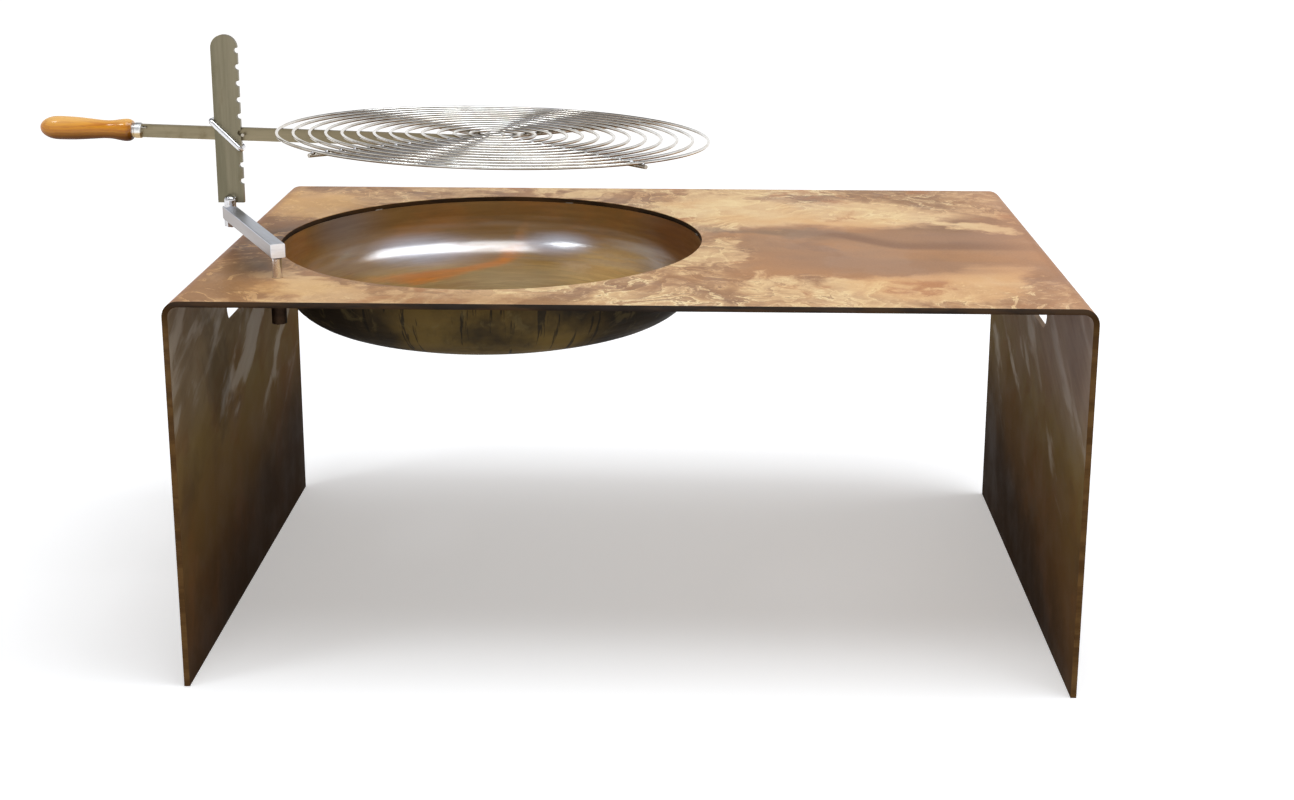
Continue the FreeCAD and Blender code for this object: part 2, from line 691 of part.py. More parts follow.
def draw_rounded_loop(sketch, length, depth, radius):
    """A rectangle with round corners whose first point is the middle of its near side."""
    across = value_of(f"{length} / 2")
    back = value_of(f"{depth} / 2")
    bend = value_of(radius)
    vector = FreeCAD.Vector
    corners = []
    for number, (side_x, side_y) in enumerate(((1, -1), (1, 1), (-1, 1), (-1, -1))):
        centre = vector(side_x * (across - bend), side_y * (back - bend), 0)
        start = (number - 1) * QUARTER_TURN
        corners.append((centre, start))
    starts = [centre + bend * vector(math.cos(turn), math.sin(turn), 0) for centre, turn in corners]
    stops = [centre + bend * vector(-math.sin(turn), math.cos(turn), 0) for centre, turn in corners]
    middle = vector(0, -back, 0)
    curves = [sketch.addGeometry(Part.LineSegment(middle, starts[0]))]
    for number, (centre, turn) in enumerate(corners):
        curves.append(sketch_arc(sketch, centre, bend, turn, turn + QUARTER_TURN))
        goal = starts[number + 1] if number < 3 else middle
        curves.append(sketch.addGeometry(Part.LineSegment(stops[number], goal)))
    for before, after in zip(curves, curves[1:]):
        sketch.addConstraint(Sketcher.Constraint("Tangent", before, 2, after, 1))
    sketch.addConstraint(Sketcher.Constraint("Coincident", curves[-1], 2, curves[0], 1))
    fix_point(sketch, curves[0], 1, "0", f"-{depth} / 2")
    for curve in (curves[0], curves[-1], curves[4]):
        sketch.addConstraint(Sketcher.Constraint("Horizontal", curve))
    for curve in (curves[2], curves[6]):
        sketch.addConstraint(Sketcher.Constraint("Vertical", curve))
    fix_point(sketch, curves[2], 1, f"{length} / 2", None)
    fix_point(sketch, curves[6], 1, f"-{length} / 2", None)
    fix_point(sketch, curves[4], 1, None, f"{depth} / 2")
    dimension(sketch, "Radius", curves[1], expression=radius)
    for curve in (curves[3], curves[5]):
        sketch.addConstraint(Sketcher.Constraint("Equal", curves[1], curve))


def make_bar():
    """The flat bar under the grate, with the guide pin that it rocks on."""
    body = new_body("grill_bar")
    half = "sizes.bar_height / 2"
    outline = new_sketch(body, "XZ_Plane", "bar_outline")
    draw_box(outline, "-places.tail_from_pin", "places.grate_from_pin - sizes.bar_setback",
             f"-({half})", half)
    draw_circle(outline, "0", "0", "sizes.pin_radius + sizes.pin_play")
    pad(body, "bar_pad", outline, "sizes.bar_thickness", SideType="Symmetric")
    hang(body, BAR_FRAME)

    pin = new_body("guide_pin")
    shank = new_sketch(pin, "XZ_Plane", "pin_shank")
    draw_circle(shank, "0", "0", "sizes.pin_radius")
    pad(pin, "pin_shank_pad", shank, "places.pin_back - places.pin_front")
    head = new_sketch(pin, "XZ_Plane", "pin_head")
    draw_circle(head, "0", "0", "sizes.pin_head_radius")
    pad(pin, "pin_head_pad", head, "sizes.pin_head_thickness", Reversed=True)
    place(pin, "places.pin_centre", "places.pin_back", "places.bar_middle")


def make_grip():
    """Ferrule, collar and tang, and the turned wooden handle on them."""
    left = "-sizes.ferrule_length - sizes.collar_length"
    ferrule = new_body("ferrule")
    profile = new_sketch(ferrule, "XZ_Plane", "ferrule_profile")
    draw_outline(profile, [
        ("0", "0"),
        ("0", "sizes.ferrule_radius - sizes.ferrule_edge"),
        ("-sizes.ferrule_edge", "sizes.ferrule_radius"),
        ("sizes.ferrule_edge - sizes.ferrule_length", "sizes.ferrule_radius"),
        ("-sizes.ferrule_length", "sizes.ferrule_radius - sizes.ferrule_edge"),
        ("-sizes.ferrule_length", "places.collar_radius"),
        (left, "places.collar_radius"),
        (left, "0"),
    ])
    spin(ferrule, "ferrule_revolution", profile, "H_Axis")
    hang(ferrule, BAR_FRAME, "-places.tail_from_pin")

    stub = lying_bar("ferrule_stub", "sizes.stub_radius", "sizes.stub_length")
    hang(stub, BAR_FRAME, "sizes.bead_gap - places.tail_from_pin",
         "-sizes.bar_thickness / 2 - sizes.bead_gap - sizes.stub_radius",
         "sizes.bar_height / 2 - sizes.stub_drop")

    tang = lying_bar("handle_tang", "sizes.tang_radius", "sizes.handle_length - sizes.tang_margin")
    hang(tang, BAR_FRAME, "sizes.tang_margin - places.handle_from_pin - sizes.handle_length")

    handle = keep("wooden_handle", doc.addObject("Part::Feature", "wooden_handle"))
    handle.Shape = turned_handle()
    hang(handle, BAR_FRAME, "-places.handle_from_pin")


def turned_handle():
    """A smooth profile with an oval nose, turned about its length, with a blind bore for the tang."""
    length = value_of("sizes.handle_length")
    radius = value_of("sizes.handle_radius")
    bore_radius = value_of("sizes.tang_radius + sizes.tang_play")
    bore_length = value_of("sizes.handle_length - sizes.tang_margin + sizes.tang_play")
    belly_share = HANDLE_PROFILE_SHARES[-1][0]
    shares = list(HANDLE_PROFILE_SHARES)
    for step in range(1, NOSE_STEPS + 1):
        turn = QUARTER_TURN * step / NOSE_STEPS
        shares.append((belly_share + (1 - belly_share) * math.sin(turn), math.cos(turn)))
    points = [FreeCAD.Vector(-along * length, 0, out * radius) for along, out in shares[:-1]]
    tip = FreeCAD.Vector(-length, 0, 0)
    profile = Part.BSplineCurve()
    profile.interpolate(points + [tip])
    mouth = FreeCAD.Vector(0, 0, 0)
    outline = Part.Wire([profile.toShape(), Part.makeLine(tip, mouth),
                         Part.makeLine(mouth, points[0])])
    turned = Part.Face(outline).revolve(mouth, FreeCAD.Vector(1, 0, 0), 360)
    bore = Part.makeCylinder(bore_radius, bore_length, mouth, FreeCAD.Vector(-1, 0, 0))
    return Part.makeSolid(turned.Shells[0]).cut(bore)


def make_grate():
    """Round wire rings, evenly spaced, that lie on two crossed rods and on the bar."""
    for number in range(int(value_of("sizes.wire_count"))):
        name = f"grate_ring_{number + 1:02d}"
        ring = keep(name, doc.addObject("Part::Torus", name))
        bind(ring, Radius1=f"sizes.outer_ring_radius - {number} * places.wire_spacing",
             Radius2="sizes.wire_radius")
        hang(ring, GRATE_FRAME, up="sizes.wire_radius")

    start = "(sizes.rod_radius + sizes.rod_gap)"
    rods = (("cross_rod_long", "sizes.rod_angle", "-places.rod_reach", "2 * places.rod_reach"),
            ("cross_rod_front", "(sizes.rod_angle - 90)", start, f"places.rod_reach - {start}"),
            ("cross_rod_back", "(sizes.rod_angle + 90)", start, f"places.rod_reach - {start}"))
    for name, turn, begin, length in rods:
        rod = lying_bar(name, "sizes.rod_radius", length)
        hang(rod, GRATE_FRAME, f"{begin} * cos({turn} * 1 deg)", f"{begin} * sin({turn} * 1 deg)",
             "-sizes.rod_radius", turn)


make_table()
make_bowl()
make_beads()
make_post()
make_arm()
make_swivel()
make_upright()
make_lock_ring()
make_bar()
make_grip()
make_grate()
doc.recompute()

for thing in doc.Objects:
    if {"Invalid", "Error"} & set(thing.State):
        raise ValueError(f"{thing.Label} failed: {thing.State}")

os.makedirs("parts", exist_ok=True)
for name, thing in nodes.items():
    shape = thing.Shape
    if shape.isNull() or not shape.isValid() or len(shape.Solids) != 1:
        raise ValueError(f"{name} has no single valid solid")
    shape.exportStep(f"parts/{name}.step")
    print(f"{name:18s} {shape.Volume / 1000:10.2f} cm3")
print(len(nodes), "pieces")
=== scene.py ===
# %% [markdown]
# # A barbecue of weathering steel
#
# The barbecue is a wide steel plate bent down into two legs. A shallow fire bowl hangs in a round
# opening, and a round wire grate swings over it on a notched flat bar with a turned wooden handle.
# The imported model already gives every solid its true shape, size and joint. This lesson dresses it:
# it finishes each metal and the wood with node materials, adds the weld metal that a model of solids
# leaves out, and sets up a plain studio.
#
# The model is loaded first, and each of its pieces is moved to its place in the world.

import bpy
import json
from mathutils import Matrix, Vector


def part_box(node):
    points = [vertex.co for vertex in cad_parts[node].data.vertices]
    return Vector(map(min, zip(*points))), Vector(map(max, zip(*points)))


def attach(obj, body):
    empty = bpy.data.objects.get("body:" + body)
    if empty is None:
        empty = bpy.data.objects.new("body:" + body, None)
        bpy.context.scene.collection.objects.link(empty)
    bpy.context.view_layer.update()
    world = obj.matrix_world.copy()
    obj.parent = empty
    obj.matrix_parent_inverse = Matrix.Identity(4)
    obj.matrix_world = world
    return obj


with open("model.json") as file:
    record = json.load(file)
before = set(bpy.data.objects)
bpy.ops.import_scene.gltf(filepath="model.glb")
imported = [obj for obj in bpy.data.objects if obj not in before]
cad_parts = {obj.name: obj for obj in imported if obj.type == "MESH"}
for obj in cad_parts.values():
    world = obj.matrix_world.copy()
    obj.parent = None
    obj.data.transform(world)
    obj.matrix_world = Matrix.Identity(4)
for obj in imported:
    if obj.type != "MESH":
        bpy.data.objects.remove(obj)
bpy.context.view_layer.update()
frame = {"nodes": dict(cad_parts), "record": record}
nodes = frame["nodes"]
print("pieces in the model:", len(nodes))

# %% The tools of this lesson
import functools
import json
import math
import types

import bpy
import numpy as np
from mathutils import Matrix, Vector

# %% [markdown]
# ## Where things are
#
# All lengths are metres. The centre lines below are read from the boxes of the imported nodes, so
# nothing has to be typed twice: the middle of the bowl, the middle of the table, and the heights of
# the plate's two faces.

# %% Centres and levels
def box_of(name):
    """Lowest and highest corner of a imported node, as two arrays."""
    low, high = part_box(name)
    return np.array(low), np.array(high)


table_low, table_high = box_of("table_shell")
bowl_low, bowl_high = box_of("fire_bowl")
table_middle = (table_low + table_high) / 2
fire_middle = (bowl_low + bowl_high) / 2
half_width = (table_high[0] - table_low[0]) / 2
half_depth = (table_high[1] - table_low[1]) / 2
top_level = table_high[2]
plate_under = bowl_high[2]
print("table centre x:", round(table_middle[0], 4), " bowl centre x:", round(fire_middle[0], 4))

# %% [markdown]
# ## Camera
#
# The photo was taken from a little above the table, slightly to the right of its middle, with a long
# lens. The place and the turn of the camera come from a least squares fit of known points of the
# barbecue to the same points of the photo. The lens is shifted down a little, because the photo keeps
# upright lines almost parallel.

# %% Place the camera
IMAGE_WIDTH = 1294
SENSOR_WIDTH = 36.0


def aim(camera, place, yaw, pitch, roll):
    """Point a camera: yaw turns it to the right, pitch lowers it, roll tips it, all in radians."""
    forward = Vector((math.sin(yaw) * math.cos(pitch), math.cos(yaw) * math.cos(pitch), -math.sin(pitch)))
    right = Vector((math.cos(yaw), -math.sin(yaw), 0))
    up = right.cross(forward)
    tipped_right = math.cos(roll) * right + math.sin(roll) * up
    tipped_up = math.cos(roll) * up - math.sin(roll) * right
    turn = Matrix((tipped_right, tipped_up, -forward)).transposed().to_4x4()
    camera.matrix_world = Matrix.Translation(place) @ turn


LENS_PIXELS = 1832.6
camera_data = bpy.data.cameras.new("camera")
camera_data.sensor_width = SENSOR_WIDTH
camera_data.lens = LENS_PIXELS / IMAGE_WIDTH * SENSOR_WIDTH
camera_data.shift_y = -0.10
camera_data.clip_end = 60
camera = bpy.data.objects.new("camera", camera_data)
bpy.context.scene.collection.objects.link(camera)
aim(camera, place=(0.222, -2.752, 1.1834), yaw=-0.0227, pitch=0.2399, roll=0.0028)
bpy.context.scene.camera = camera
print("lens:", round(camera_data.lens, 1), "mm")

# %% [markdown]
# ## Studio
#
# Three soft box lamps hang high above the table: a large one at the right, a dimmer one in the middle
# and a small one at the left. The bowl is a hollow mirror, so the tight bend of its wall gathers all
# three into one shallow bow of light, with the large lamp at its left end and the small one at its
# right. The rest of the ceiling stays dim, which keeps the bowl's colour deep.

# %% Lamps
def add_box_lamp(name, place, length, width, brightness, turn=0.0):
    """A soft box that hangs level, its long side turned by an angle from the room's width.

    Its watts follow from its brightness: power = pi * brightness * length * width.
    """
    data = bpy.data.lights.new(name, "AREA")
    data.shape = "RECTANGLE"
    data.size, data.size_y = length, width
    data.energy = math.pi * brightness * length * width
    data.color = (0.92, 0.96, 1.0)
    lamp = bpy.data.objects.new(name, data)
    lamp.location = place
    lamp.rotation_euler = (0, 0, turn)
    bpy.context.scene.collection.objects.link(lamp)
    print(name, "gives", round(data.energy), "W")


add_box_lamp("right_box", (3.5, -0.3, 6.0), length=4.8, width=2.8, brightness=5.2,
             turn=math.radians(35))
add_box_lamp("middle_box", (0.1, -1.6, 6.0), length=2.8, width=3.2, brightness=3.8)
add_box_lamp("left_box", (-3.4, -2.1, 6.0), length=1.6, width=1.2, brightness=10.0,
             turn=math.radians(20))

bpy.context.scene.view_settings.view_transform = "Standard"

# %% [markdown]
# ## Short verbs for node trees
#
# A material in Blender is a graph of nodes, and wiring one up takes many words. A small class keeps
# the graphs short: it has a verb for each thing that a finish needs, such as a product, a smooth step
# or a mixed colour. Wherever a verb takes a number, it also takes the output of another node.

# %% The graph and its verbs
class Graph:
    """A node tree with short verbs."""

    def __init__(self, tree):
        self.tree = tree

    def fill(self, made, inputs):
        """Give a node's inputs their numbers, or link them to other nodes' outputs."""
        for key, value in inputs.items():
            if isinstance(value, bpy.types.NodeSocket):
                self.tree.links.new(value, made.inputs[key])
            else:
                made.inputs[key].default_value = value
        return made

    def add(self, kind, inputs=None, **settings):
        """Add a shader node, with its settings and its inputs."""
        made = self.tree.nodes.new("ShaderNode" + kind)
        for name, value in settings.items():
            setattr(made, name, value)
        return self.fill(made, inputs or {})

    def group(self, group, inputs):
        """Place a node group, and return its outputs."""
        made = self.tree.nodes.new("ShaderNodeGroup")
        made.node_tree = group
        return self.fill(made, inputs).outputs

    def maths(self, operation, first, second=0.0, third=0.0):
        return self.add("Math", {0: first, 1: second, 2: third}, operation=operation).outputs[0]

    def chain(self, operation, values):
        """One operation over several values, from left to right; a single value stays as it is."""
        return functools.reduce(lambda first, second: self.maths(operation, first, second), values)

    def times(self, *values):
        return self.chain("MULTIPLY", values)

    def plus(self, *values):
        return self.chain("ADD", values)

    def larger(self, *values):
        return self.chain("MAXIMUM", values)

    def minus(self, first, second):
        return self.maths("SUBTRACT", first, second)

    def times_plus(self, value, factor, offset):
        return self.maths("MULTIPLY_ADD", value, factor, offset)

    def size(self, value):
        """The value without its sign."""
        return self.maths("ABSOLUTE", value)

    def rest(self, mask):
        """What a mask leaves free."""
        return self.minus(1.0, mask)

    def vector_maths(self, operation, first, second):
        return self.add("VectorMath", {0: first, 1: second}, operation=operation).outputs[0]

    def length(self, vector):
        return self.add("VectorMath", {0: vector}, operation="LENGTH").outputs["Value"]

    def split(self, vector):
        """The x, y and z of a vector."""
        parts = self.add("SeparateXYZ", {0: vector}).outputs
        return parts["X"], parts["Y"], parts["Z"]

    def join(self, x, y, z=0.0):
        return self.add("CombineXYZ", {"X": x, "Y": y, "Z": z}).outputs[0]

    def shift(self, vector, offset=(0, 0, 0), scale=(1, 1, 1), turn=(0, 0, 0)):
        """Scale a vector, turn it, then move it."""
        return self.add("Mapping", {"Vector": vector, "Location": offset, "Rotation": turn,
                                    "Scale": scale}).outputs["Vector"]

    def noise(self, vector, scale, detail, roughness=0.5):
        return self.add("TexNoise", {"Vector": vector, "Scale": scale, "Detail": detail,
                                     "Roughness": roughness}).outputs["Fac"]

    def window(self, value, low, high, to_low=0.0, to_high=1.0):
        """A smooth step: to_low at one value, to_high at the other. Low may be the larger of the two."""
        return self.add("MapRange", {"Value": value, "From Min": low, "From Max": high,
                                     "To Min": to_low, "To Max": to_high},
                        interpolation_type="SMOOTHSTEP").outputs["Result"]

    def band(self, value, low, full, full_end, high):
        """One between two inner values, falling to zero at two outer ones."""
        return self.times(self.window(value, low, full), self.window(value, high, full_end))

    def spot(self, vector, centre, reach, soft):
        """One inside an oval spot, zero at its edge; the soft share of its reach fades."""
        stretched = self.shift(vector, tuple(-c / r for c, r in zip(centre, reach)),
                               tuple(1 / r for r in reach))
        return self.window(self.length(stretched), 1.0, 1.0 - soft)

    def mix(self, factor, first, second, mode="MIX"):
        return self.add("Mix", {0: factor, 6: first, 7: second}, data_type="RGBA",
                        blend_type=mode).outputs[2]

    def ramp(self, value, stops):
        """A run of colours; stops lists (position, colour) from the lowest position to the highest."""
        made = self.add("ValToRGB", {0: value})
        elements = made.color_ramp.elements
        for element, (position, colour) in zip((elements[0], elements[1]), (stops[0], stops[-1])):
            element.position, element.color = position, colour
        for position, colour in stops[1:-1]:
            elements.new(position).color = colour
        return made.outputs["Color"]


# %% [markdown]
# ## Patterns that several finishes share
#
# Rust patina, scorched steel and worn wood all have clouds whose borders are pulled about. The first
# group makes such a cloud: one noise pushes the coordinates of a second noise. The second group is the
# fine scratch grain of ground metal. A node group is made once, and each finish that uses it gives it
# its own numbers.

# %% Start a group
def start_group(name, inputs, outputs):
    """A node group; inputs maps names to a socket kind and a default, outputs maps names to kinds."""
    tree = bpy.data.node_groups.new(name, "ShaderNodeTree")
    for socket, (kind, default) in inputs.items():
        made = tree.interface.new_socket(socket, in_out="INPUT", socket_type="NodeSocket" + kind)
        if default is not None:
            made.default_value = default
    for socket, kind in outputs.items():
        tree.interface.new_socket(socket, in_out="OUTPUT", socket_type="NodeSocket" + kind)
    entrance = tree.nodes.new("NodeGroupInput")
    leave = tree.nodes.new("NodeGroupOutput")
    return Graph(tree), entrance.outputs, leave


# %% Warped cloud
warped, got, leave = start_group(
    "warped_cloud",
    {"Vector": ("Vector", None), "Scale": ("Float", 4.0), "Detail": ("Float", 5.0),
     "Roughness": ("Float", 0.55), "Warp": ("Float", 0.2), "Warp Scale": ("Float", 3.0)},
    {"Value": "Float"})
push = warped.add("TexNoise", {"Vector": got["Vector"], "Scale": got["Warp Scale"], "Detail": 3.0})
centred = warped.vector_maths("SUBTRACT", push.outputs["Color"], (0.5, 0.5, 0.5))
scaled = warped.add("VectorMath", {0: centred, "Scale": got["Warp"]}, operation="SCALE")
pushed = warped.vector_maths("ADD", got["Vector"], scaled.outputs[0])
warped.fill(leave, {"Value": warped.noise(pushed, got["Scale"], got["Detail"], got["Roughness"])})
cloud_group = warped.tree

# %% Ground metal grain
ground, got, leave = start_group(
    "ground_grain",
    {"Vector": ("Vector", None), "Fineness": ("Float", 60.0)},
    {"Height": "Float", "Tone": "Float"})
lines = ground.noise(got["Vector"], got["Fineness"], 4.0, 0.65)
patches = ground.noise(got["Vector"], ground.times(got["Fineness"], 0.12), 3.0)
ground.fill(leave, {"Height": lines,
                    "Tone": ground.plus(ground.times(lines, 0.45), ground.times(patches, 0.55))})
grain_group = ground.tree
print("node groups:", [group.name for group in bpy.data.node_groups])


# %% [markdown]
# ## A finish in the making
#
# A finish is a graph with a shader. Its colour is laid down like paint: one tone first, then thin coats
# of other tones, each only where its masks are. Tones are written in 0 to 255, as they look on a screen.

# %% Finish
def srgb(red, green, blue):
    """A colour given in 0 to 255, as it looks on a screen, turned into the linear values of light."""
    channels = np.array([red, green, blue]) / 255
    linear = np.where(channels <= 0.04045, channels / 12.92, ((channels + 0.055) / 1.055) ** 2.4)
    return (*linear, 1.0)


class Finish(Graph):
    """A material in the making: its shader, the place on the piece, and the colour so far."""

    def __init__(self, name):
        self.material = bpy.data.materials.new(name)
        self.material.use_nodes = True
        super().__init__(self.material.node_tree)
        self.tree.nodes.clear()
        self.shader = self.add("BsdfPrincipled")
        self.add("OutputMaterial", {"Surface": self.shader.outputs["BSDF"]})
        self.place = self.add("TexCoord").outputs["Object"]
        self.colour = None

    def coat(self, tone, *masks):
        """Lay a coat over the colour so far, as thick as the product of its masks and numbers."""
        self.colour = self.mix(self.times(*masks), self.colour, srgb(*tone))

    def cloud(self, vector, offset, scale, detail=5.0, roughness=0.55, warp=0.2, warp_scale=3.0):
        """A warped cloud; the offset, if there is one, makes it unlike the others."""
        if offset:
            vector = self.shift(vector, offset)
        return self.group(cloud_group, {"Vector": vector, "Scale": scale, "Detail": detail,
                                        "Roughness": roughness, "Warp": warp,
                                        "Warp Scale": warp_scale})["Value"]

    def relief(self, height, strength, distance):
        return self.add("Bump", {"Height": height, "Strength": strength,
                                 "Distance": distance}).outputs["Normal"]

    def done(self, **inputs):
        """Give the shader its inputs, a low line standing for each blank, and return the material."""
        self.fill(self.shader, {name.replace("_", " "): value for name, value in inputs.items()})
        return self.material


# %% [markdown]
# ## Air and floor
#
# The air is white near the horizon and grey overhead, as in a room with white walls and a dim
# ceiling. Steel that faces the walls looks bright, while the bowl, which looks up, keeps its depth.

# %% The air
world = bpy.data.worlds.new("soft_room")
bpy.context.scene.world = world
world.use_nodes = True
air = Graph(world.node_tree)
air.tree.nodes.clear()
rise = air.split(air.add("TexCoord").outputs["Generated"])[2]
walls_and_ceiling = air.ramp(rise, ((0.14, (1, 1, 1, 1)), (0.42, (0.60, 0.61, 0.63, 1)),
                                    (0.62, (0.17, 0.17, 0.18, 1))))
light = air.add("Background", {"Color": walls_and_ceiling, "Strength": 1.0})
air.add("OutputWorld", {"Surface": light.outputs[0]})

# %% [markdown]
# The floor is a white sheet. The lamps cannot light it evenly all the way out, so it looks as if it
# glowed a little, and more where it is far from the barbecue. The glow is there only for the camera and
# for mirrored rays, so it puts no light on the barbecue, whose soft shadow stays on the floor.

# %% The floor
FLOOR_REACH = 16
GLOW_REACH = 8.0
floor_mesh = bpy.data.meshes.new("floor")
corners = [(x * FLOOR_REACH, y * FLOOR_REACH, 0) for x, y in ((-1, -1), (1, -1), (1, 1), (-1, 1))]
floor_mesh.from_pydata(corners, [], [(0, 1, 2, 3)])
floor = bpy.data.objects.new("floor", floor_mesh)
floor.location.z = -0.0005
bpy.context.scene.collection.objects.link(floor)
sheet = Finish("white_floor")
from_middle = sheet.maths("DIVIDE", sheet.length(sheet.place), GLOW_REACH)
glow = sheet.ramp(from_middle, ((0.14, (0.37, 0.36, 0.35, 1)), (0.75, (0.72, 0.70, 0.68, 1))))
rays = sheet.add("LightPath").outputs
seen = sheet.larger(rays["Is Camera Ray"], rays["Is Glossy Ray"], rays["Is Transmission Ray"])
floor_mesh.materials.append(sheet.done(
    Base_Color=(0.90, 0.90, 0.90, 1), Roughness=0.9, Specular_IOR_Level=0.1,
    Emission_Color=sheet.mix(seen, (0, 0, 0, 1), glow), Emission_Strength=1.0))

# %% [markdown]
# ## The plate's patina
#
# The plate is weathering steel whose rust has closed to a smooth skin. On top it is tan with ochre
# and pinkish clouds, grey brown islands with pale torn rims, and pale fields near the back edge and the
# front right corner. The legs are dark olive brown with slanting sheen marks, which are painted
# highlights, and they are painted darker towards the floor as painted shade. The sawn edges are darkest.
# Painting each region by hand would need an image, so the regions are masks worked out from the height
# and the place on the plate.
#
# Each cloud on the top has a row of numbers: an offset that makes it unlike the others, its scale,
# detail and roughness, how far it is warped, and the scale of the warp.

# %% Where the top's marks gather
TOP_CLOUDS = {
    "wander": ((6.0, 1.0, 0.0), 5.0, 5.0, 0.6, 0.3, 4.0),
    "broad": ((3.1, 1.7, 0.4), 2.4, 4.0, 0.5, 0.25, 2.0),
    "warm": ((7.3, 2.2, 0.0), 3.0, 6.0, 0.58, 0.35, 2.6),
    "mauve": ((1.3, 8.2, 0.0), 6.0, 6.0, 0.6, 0.3, 4.0),
    "cream": ((0.2, 5.9, 0.0), 4.6, 9.0, 0.64, 0.35, 4.0),
    "ember": ((9.0, 3.0, 0.0), 6.0, 7.0, 0.62, 0.3, 5.0),
    "ripple": ((1.0, 1.0, 0.0), 26.0, 4.0, 0.55, 0.06, 18.0),
}


def from_fire(plate):
    """Distance from the axis of the opening."""
    return plate.length(plate.shift(plate.place, (-fire_middle[0], 0, 0), (1, 1, 0)))


def top_spot(plate, vector, middle, reach, soft):
    """A spot on the plate's top, from its place and its reach to the right and to the back."""
    return plate.spot(vector, (*middle, float(top_level)), (*reach, 1.0), soft)


def top_zones(plate, x, y, wander):
    """Where the ragged patina gathers, and the quiet field right of the opening."""
    near_back = plate.times_plus(wander, 0.34, plate.minus(y, 0.17))
    back = plate.times(plate.window(near_back, 0.10, 0.24), plate.window(x, 0.02, 0.16, 0.35, 1.0))
    near_front = plate.times_plus(wander, -0.30, plate.plus(y, 0.15))
    front = plate.times(plate.window(near_front, -0.21, -0.33), plate.window(x, -0.2, 0.15, 0.5, 1.0))
    near_rim = plate.times_plus(wander, -0.24, from_fire(plate))
    rim = plate.times(plate.window(near_rim, 0.31, 0.24), plate.window(x, -0.05, 0.14))
    left = top_spot(plate, plate.place, (-0.30, 0.34), (0.26, 0.12), 0.8)
    quiet = top_spot(plate, plate.place, (0.545, -0.085), (0.29, 0.185), 0.45)
    return plate.larger(back, front, rim, left), quiet


# %% [markdown]
# The ragged marks look like petals that lie over each other: each one fades in slowly and stops at a
# sharp, torn edge. The rings of height on a map do the same when a cloud is multiplied and only the
# part behind the point is kept. That saw of the cloud gives the petals, and its top a pale rim.

# %% Petals of patina
def petals(plate, offset, scale, steps, roughness=0.62, warp=0.5):
    """The saw of a warped cloud, and the thin rim at each petal's torn edge."""
    flow = plate.cloud(plate.place, offset, scale, 9.0, roughness, warp, scale * 0.6)
    saw = plate.maths("FRACT", plate.times(flow, steps))
    return plate.maths("POWER", saw, 1.7), plate.band(saw, 0.82, 0.93, 0.97, 1.0)


